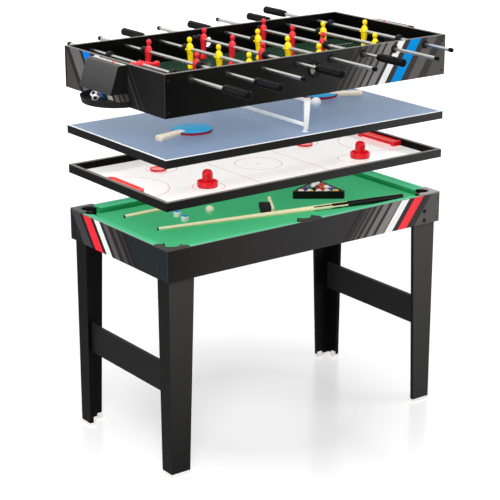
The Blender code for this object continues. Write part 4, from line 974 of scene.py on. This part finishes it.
def make_net_posts(low, high, half):
    """Two white posts, each an upright, a brace that leans out from it, a cross bar on top and a foot."""
    flare = 0.017
    work = bmesh.new()
    for sy in (-1, 1):
        block(work, (-0.006, sy * (half - 0.012), low), (0.0005, sy * half, high))
        lean = along((0.003, sy * (half - 0.006), low + 0.010), (flare - 0.003, sy * (half - 0.006), high))
        block(work, (-0.0025, -0.006, 0.0), (0.0025, 0.006, (high - low) - 0.012), where=lean)
        block(work, (-flare, sy * (half - 0.0115), high - 0.008), (flare, sy * (half - 0.0005), high))
        block(work, (-0.008, sy * (half - 0.018), low), (0.008, sy * half, low + 0.004), 0.0012)
    finished("net_posts", work, [WHITE], "tennis_top", ("net",))


def make_paddle(node, start_share, turn_degrees):
    """A paddle: plywood blade with a blue and a red rubber, red edge tape, and a flared grip."""
    at = Matrix.Translation((start_share[0] * HALF_LENGTH, start_share[1] * HALF_WIDTH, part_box(node)[0][2]))
    at = at @ Matrix.Rotation(math.radians(turn_degrees), 4, "Z")
    reach, head, wide, neck, shoulder, middle = 0.098, 0.150, 0.142, 0.015, 0.030, 0.011
    centre = reach + head / 2

    def outline(grow):
        """The blade's edge, which runs into the grip over the shoulder."""
        points = []
        for i in range(96):
            a = math.tau * i / 96
            x, y = centre + (head / 2 + grow) * math.cos(a), (wide / 2 + grow) * math.sin(a)
            if x < reach + shoulder:
                side = math.copysign(1.0, y) if abs(y) > 1e-6 else 1.0
                near = max(0.0, (reach + shoulder - x) / shoulder)
                y = side * max(abs(y), neck + (1 - near) * 0.004)
            points.append((x, y))
        return points

    work = bmesh.new()
    # Lower rubber, taped plywood and upper rubber: from and to which height, finish and how much wider
    layers = ((-0.0055, -0.0030, 2, -0.0006), (-0.0030, 0.0035, 3, 0.0), (0.0035, 0.0055, 1, -0.0006))
    for start, end, finish, grow in layers:
        levels = ((start, 0.0005), (start + 0.0004, 0.0), (end - 0.0004, 0.0), (end, 0.0005))
        skin(work, [[work.verts.new(at @ Vector((x, y, z + middle))) for x, y in outline(grow - less)]
                    for z, less in levels], finish)
    # The grip from its end to the blade: place, half width and half height
    grip = ((0.0, 0.0150, 0.0080), (0.0012, 0.0165, 0.0100), (0.006, 0.0172, 0.0108),
            (0.030, 0.0150, 0.0106), (0.060, 0.0140, 0.0104), (0.092, 0.0145, 0.0106),
            (0.112, 0.0146, 0.0100), (0.122, 0.0138, 0.0080), (0.127, 0.0120, 0.0060))
    skin(work, [[work.verts.new(at @ Vector((a, y, z + middle)))
                 for y, z in squared(32, 0.6, half_wide, half_high)] for a, half_wide, half_high in grip])
    finished(node + "_glued", work, [PLY, BLUE_RUBBER, RED_RUBBER, EDGE_TAPE], "tennis_top", (node,), 45)


def make_tennis_ball():
    """A plain matt white ball."""
    work = bmesh.new()
    centre, half = middle_of("tennis_ball")
    ball(work, centre, half.z)
    finished("celluloid_ball", work, [CELLULOID], "tennis_top", ("tennis_ball",))


# Foosball rods and men

# Each rod: the side of its grip, its team, its men, its slide along Y in metres and its turn in degrees
RODS = ((-1, "red", 1, -0.0200, -84), (-1, "red", 2, 0.0099, 4), (1, "yellow", 3, -0.0656, -3),
        (-1, "red", 3, 0.0599, 3), (1, "yellow", 3, -0.0787, -4), (-1, "red", 3, 0.0866, 2),
        (1, "yellow", 2, -0.0654, -4), (1, "yellow", 1, 0.0200, 3))

# A man from foot to crown: height over the rod, half width, half depth and how far the legs part
MAN_FORM = ((-0.0715, 0.0084, 0.0112, 0.0), (-0.0705, 0.0090, 0.0118, 0.0), (-0.0620, 0.0090, 0.0112, 0.0),
            (-0.0585, 0.0084, 0.0092, 0.1), (-0.0550, 0.0082, 0.0074, 0.35), (-0.0480, 0.0086, 0.0074, 0.5),
            (-0.0380, 0.0094, 0.0080, 0.5), (-0.0270, 0.0106, 0.0090, 0.5), (-0.0190, 0.0114, 0.0100, 0.3),
            (-0.0140, 0.0120, 0.0106, 0.0), (-0.0090, 0.0134, 0.0116, 0.0), (-0.0040, 0.0146, 0.0126, 0.0),
            (0.0010, 0.0150, 0.0132, 0.0), (0.0060, 0.0147, 0.0128, 0.0), (0.0110, 0.0136, 0.0116, 0.0),
            (0.0150, 0.0118, 0.0100, 0.0), (0.0180, 0.0094, 0.0082, 0.0), (0.0205, 0.0064, 0.0060, 0.0),
            (0.0226, 0.0050, 0.0050, 0.0), (0.0242, 0.0056, 0.0058, 0.0), (0.0265, 0.0074, 0.0076, 0.0),
            (0.0300, 0.0088, 0.0091, 0.0), (0.0345, 0.0091, 0.0094, 0.0), (0.0385, 0.0084, 0.0086, 0.0),
            (0.0420, 0.0062, 0.0064, 0.0), (0.0442, 0.0030, 0.0032, 0.0))

# How far a rod's bare end and its grip reach past the sides, and the sizes of what is on it
BARE_REACH, GRIP_REACH, GRIP_LONG = 0.165, 0.305, 0.132
ROD_RADIUS, BUMPER_RADIUS, BUMPER_HALF = 0.00625, 0.0150, 0.0090

# The space between the men of a rod, where it has one, two or three
MAN_SPACING = (0.0, 0.30016, 0.17984)


def man(work, at, finish, face):
    """One plain faceless player: block foot, cleft legs, round hub on the rod, bent arms, round head."""
    rings = []
    for height, half_wide, half_deep, cleft in MAN_FORM:
        power = 0.55 if height < -0.057 else 0.80 if height < -0.010 else 1.0
        ring = []
        for y, x in squared(32, power, half_wide, half_deep):
            x *= 1 - cleft * math.exp(-(y / (half_wide * 0.30)) ** 2)
            ring.append(work.verts.new(at @ Vector((x, y, height))))
        rings.append(ring)
    skin(work, rings, finish)
    thick = 0.0030
    for side in (-1, 1):
        shoulder = Vector((0.0, side * 0.0100, 0.0155))
        elbow = Vector((face * -0.0020, side * 0.0120, 0.0020))
        hand = Vector((face * 0.0125, side * 0.0088, -0.0010))
        for start, end in ((shoulder, elbow), (elbow, hand)):
            reach = (end - start).length
            limb = [(0.0, -thick), (thick * 0.7, -thick * 0.7), (thick, 0.0), (thick, reach),
                    (thick * 0.7, reach + thick * 0.7), (0.0, reach + thick)]
            lathe(work, limb, 12, at @ along(start, end), finish)


def ribbed_grip(work, axis, start, end):
    """A grip with eight flutes along it and a groove across it at every 10.5 mm."""
    profile = [(0.0112, start), (0.0136, start + 0.0010)]
    profile += [(0.0149, start + 0.002 + (end - 0.008 - start) * i / 54) for i in range(55)]
    profile += [(0.0149, end - 0.0050), (0.0142, end - 0.0020), (0.0120, end - 0.0004), (0.0100, end),
                (0.0, end)]

    def knurl(turn, height, radius):
        """How far the grip's skin is cut in, at full radius and short of its rounded end."""
        if radius < 0.0145 or height > end - 0.0058:
            return 0.0
        flute = 0.0018 * (0.5 - 0.5 * math.cos(8 * turn))
        groove = 0.0024 if int((height - start) / 0.0021) % 5 < 2 else 0.0
        return -flute - groove

    lathe(work, profile, 72, axis, 1, knurl)


def make_rods():
    """Rods with their men, ribbed grips, end caps and rubber bumpers."""
    for index, (side, team, count, slide, turn) in enumerate(RODS):
        node, bumper = "rod_%d" % (index + 1), "bumper_%d" % (index + 1)
        at = Matrix.Translation(((index - 3.5) * ROD_PITCH, slide, ROD_AXIS))
        at = at @ Matrix.Rotation(math.radians(turn), 4, "Y")
        axis = at @ along((0, 0, 0), (0, side, 0))
        low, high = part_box(bumper)
        middle = ((low[1] + high[1]) / 2 - slide) * side
        near, far = middle - BUMPER_HALF, middle + BUMPER_HALF
        bare, end = HALF_WIDTH + BARE_REACH, HALF_WIDTH + GRIP_REACH
        grip = end - GRIP_LONG
        cap = [(0.0, -bare), (0.0080, -bare), (0.0080, 0.014 - bare), (0.0060, 0.014 - bare)]
        far_bumper = [(0.0060, -far), (BUMPER_RADIUS, -far), (BUMPER_RADIUS, -near), (0.0060, -near)]
        collar = [(0.0062, grip), (0.0118, grip), (0.0135, grip + 0.005), (0.0135, grip + 0.016),
                  (0.0110, grip + 0.017)]
        work = bmesh.new()
        lathe(work, eased(cap, 0.0012), 28, axis, 1)
        lathe(work, [(ROD_RADIUS, 0.0135 - bare), (ROD_RADIUS, grip + 0.001)], 28, axis)
        lathe(work, eased(far_bumper, 0.0014), 36, axis, 2)
        lathe(work, eased(collar, 0.0010), 36, axis, 1)
        ribbed_grip(work, axis, grip + 0.0165, end)
        for i in range(count):
            place = (i - (count - 1) / 2) * MAN_SPACING[count - 1]
            man(work, at @ Matrix.Translation((0, place, 0)), 3, -side)
        figures = TEAM_RED if team == "red" else TEAM_YELLOW
        finished(node + "_dressed", work, [STEEL, GRIP, RUBBER, figures], node, (node,), 42)
        work = bmesh.new()
        section = [(0.00676, near), (BUMPER_RADIUS, near), (BUMPER_RADIUS, far), (0.00676, far)]
        bored(work, eased(section, 0.0014), 36, axis)
        finished(bumper + "_moulded", work, [RUBBER], bumper, (bumper,), 42)


def make_football():
    """A small foosball ball: white with twelve dark patches, like a stitched football."""
    golden = (1 + math.sqrt(5)) / 2
    patches = []
    for s, t in CORNERS:
        for patch in ((0, s, t * golden), (s, t * golden, 0), (t * golden, 0, s)):
            patches.append(Vector(patch).normalized())

    def painter(way):
        return hue("191818") if max(way.dot(patch) for patch in patches) > 0.925 else hue("f2f1ee")

    centre, half = middle_of("football")
    turn = Matrix.Rotation(0.5, 4, "X") @ Matrix.Rotation(0.35, 4, "Y")
    work = bmesh.new()
    ball(work, centre, half.z, painter, turn, 64, 40)
    finished("patched_football", work, [RESIN], "foosball_top", ("football",))


# Fasteners, bushes and score markers
def screw_head(radius, high):
    """A pan head with a cross on it."""
    work = bmesh.new()
    profile = [(0.0, -0.0004), (radius * 0.96, -0.0004), (radius, 0.0), (radius * 0.82, high * 0.8),
               (0.0, high)]
    lathe(work, eased(profile, radius * 0.2), 20)
    arm, wide = radius * 0.45, radius * 0.10
    for turn in (0.0, math.pi / 2):
        block(work, (-arm, -wide, high * 0.88), (arm, wide, high * 1.02), radius * 0.03,
              Matrix.Rotation(turn, 4, "Z"), segments=1)
    return work


def on_long_faces(*places):
    """Spots at (x, height) places on both long faces and at both ends."""
    return [((sx * x, sy * HALF_WIDTH, z), (0, sy, 0)) for x, z in places for sx, sy in CORNERS]


def make_fittings():
    """Bolt caps, screws and rod bushes that the photograph shows on the panels."""
    cap = bmesh.new()
    profile = [(0.0, -0.0006), (0.0088, -0.0006), (0.0088, 0.0006), (0.0064, 0.0020), (0.0, 0.0024)]
    lathe(cap, eased(profile, 0.0012), 24)
    caps = on_long_faces((0.546, 0.782), (0.546, 0.745))
    caps += [((sx * HALF_LENGTH, sy * 0.262, 0.770), (sx, 0, 0)) for sx, sy in CORNERS]
    copies("base_bolt_caps", cap, caps, SCREW, "base")
    corner_screws = on_long_faces((0.6095, 0.751), (0.6095, 0.824))
    copies("base_panel_screws", screw_head(0.0032, 0.0010), corner_screws, SCREW, "base")
    box_screws = on_long_faces((0.605, 1.317), (0.605, 1.424), (0.270, 1.347))
    copies("box_panel_screws", screw_head(0.0042, 0.0012), box_screws, SCREW, "foosball_top")
    bush = bmesh.new()
    outline = [(0.0076, -0.0006), (0.0152, -0.0006), (0.0152, 0.0016), (0.0105, 0.0032), (0.0076, 0.0032)]
    bored(bush, eased(outline, 0.0008), 40)
    spots = []
    for i in range(8):
        spots += [(((i - 3.5) * ROD_PITCH, sy * HALF_WIDTH, ROD_AXIS), (0, sy, 0)) for sy in (-1, 1)]
    copies("rod_bushes", bush, spots, RUBBER, "foosball_top")


def make_score_markers():
    """The pale bar along each hood's top edge, with its black ruled lines and its red slider."""
    half_long, lines, pitch, slid = 0.098, 11, 0.017, 0.034
    work = bmesh.new()
    for sx in (-1, 1):
        x, top = sx * (HALF_LENGTH + 0.0125), BOX_TOP
        block(work, (x - 0.0070, -half_long, top - 0.0032), (x + 0.0070, half_long, top - 0.0016), 0.0004,
              segments=1)
        for i in range(lines):
            y = (i - (lines - 1) / 2) * pitch
            block(work, (x - 0.0020, y - 0.0004, top - 0.0030), (x + 0.0066, y + 0.0004, top - 0.0014),
                  0.0001, finish=2, segments=1)
        y = sx * slid
        block(work, (x - 0.0072, y - 0.0060, top - 0.0030), (x + 0.0072, y + 0.0060, top - 0.0002),
              0.0008, finish=1)
    finished("score_markers", work, [SCALE, RED, BLACK], "foosball_top")


# Floor, room, lamps and camera
def seen_by(tree, *kinds):
    """1 for the camera's own rays and for the other kinds named."""
    rays = add(tree, "ShaderNodeLightPath").outputs
    seen = Value(tree, rays["Is Camera Ray"])
    for kind in kinds:
        seen |= rays["Is %s Ray" % kind]
    return seen


def make_floor():
    """A plain pale floor, half glossy, that fades to white with distance and keeps the table's shadow."""
    mesh = bpy.data.meshes.new("studio_floor")
    mesh.from_pydata([(-30, -30, 0), (30, -30, 0), (30, 30, 0), (-30, 30, 0)], [], [(0, 1, 2, 3)])
    floor = placed("studio_floor", mesh)
    material, tree, shader = surface("white_studio_floor", Base_Color=hue("dadada"), Roughness=0.22)
    where = add(tree, "ShaderNodeTexCoord").outputs["Object"]
    away = Value(tree, add(tree, "ShaderNodeVectorMath", {0: where}, operation="LENGTH").outputs["Value"])
    # The floor glows for the camera: a little under the table, more round it, and white far off
    strength = away.spread(0.38, 0.88, 0.09, 0.38) + away.spread(0.0, 0.38, 0.07, 0.0)
    strength = strength + away.spread(1.2, 6.0, 0.0, 0.57)
    glow = add(tree, "ShaderNodeEmission", {"Color": (1, 1, 1, 1), "Strength": strength})
    lit = add(tree, "ShaderNodeAddShader", {0: shader.outputs[0], 1: glow.outputs[0]})
    mixed = add(tree, "ShaderNodeMixShader", {
        0: seen_by(tree, "Transmission"), 1: shader.outputs[0], 2: lit.outputs[0]})
    tree.links.new(mixed.outputs[0], tree.nodes["Material Output"].inputs["Surface"])
    mesh.materials.append(material)


def make_room():
    """A white room: full white where it is seen or mirrored, and dimmer as light on the table."""
    world = bpy.data.worlds.new("studio")
    bpy.context.scene.world = world
    world.use_nodes = True
    tree = world.node_tree
    strength = seen_by(tree, "Glossy", "Transmission").spread(0.0, 1.0, 0.30, 1.0)
    sky = tree.nodes["Background"]
    sky.inputs[0].default_value = (1, 1, 1, 1)
    tree.links.new(strength.socket, sky.inputs[1])


def make_lamp(name, place, aim_height, size, power, shadow=True):
    """A round softbox aimed over the table's middle, with or without a shadow of its own."""
    data = bpy.data.lights.new(name, "AREA")
    data.shape, data.size, data.energy, data.use_shadow = "DISK", size, power, shadow
    lamp = placed(name, data)
    lamp.location = place
    lamp.rotation_euler = (Vector((0, 0, aim_height)) - Vector(place)).to_track_quat("-Z", "Y").to_euler()


def make_camera():
    """The photograph's view, fitted to its corners: from the front left, a little above."""
    turn, rise = math.radians(-36.47), math.radians(17.82)
    back = Vector((math.sin(turn) * math.cos(rise), -math.cos(turn) * math.cos(rise), math.sin(rise)))
    data = bpy.data.cameras.new("photo_view")
    data.lens, data.sensor_width, data.clip_end = 115.2, 36.0, 100.0
    camera = placed("photo_view", data)
    camera.location = (-3.434, -4.594, 2.493)
    camera.rotation_euler = back.to_track_quat("Z", "Y").to_euler()
    bpy.context.scene.camera = camera


# The whole scene
make_pool_balls()
make_cue("cue_near", (-0.7481, -0.0690), (0.8190, -0.7659))
make_cue("cue_far", (-0.7690, 0.5619), (0.8260, 0.5159))
make_brush()
make_chalks()
make_pushers_and_pucks()
make_hockey_goals()
make_net()
make_paddle("paddle_left", (-0.7984, -0.2688), 13)
make_paddle("paddle_right", (0.8806, 0.1875), 152)
make_tennis_ball()
make_rods()
make_football()
make_fittings()
make_score_markers()
make_floor()
make_room()

# The two lamps without shadows light the lower tops like the highest, as in the photograph
make_lamp("key_softbox", (-3.2, -3.8, 4.2), 0.9, 2.4, 135)
make_lamp("fill_softbox", (4.2, -3.0, 2.4), 0.9, 2.6, 50)
make_lamp("overhead_fill", (-0.6, -0.9, 5.4), 1.0, 3.0, 165, False)
make_lamp("side_fill", (-4.8, -1.4, 1.9), 1.0, 2.4, 60, False)
make_camera()
bpy.context.scene.view_settings.view_transform = "Standard"
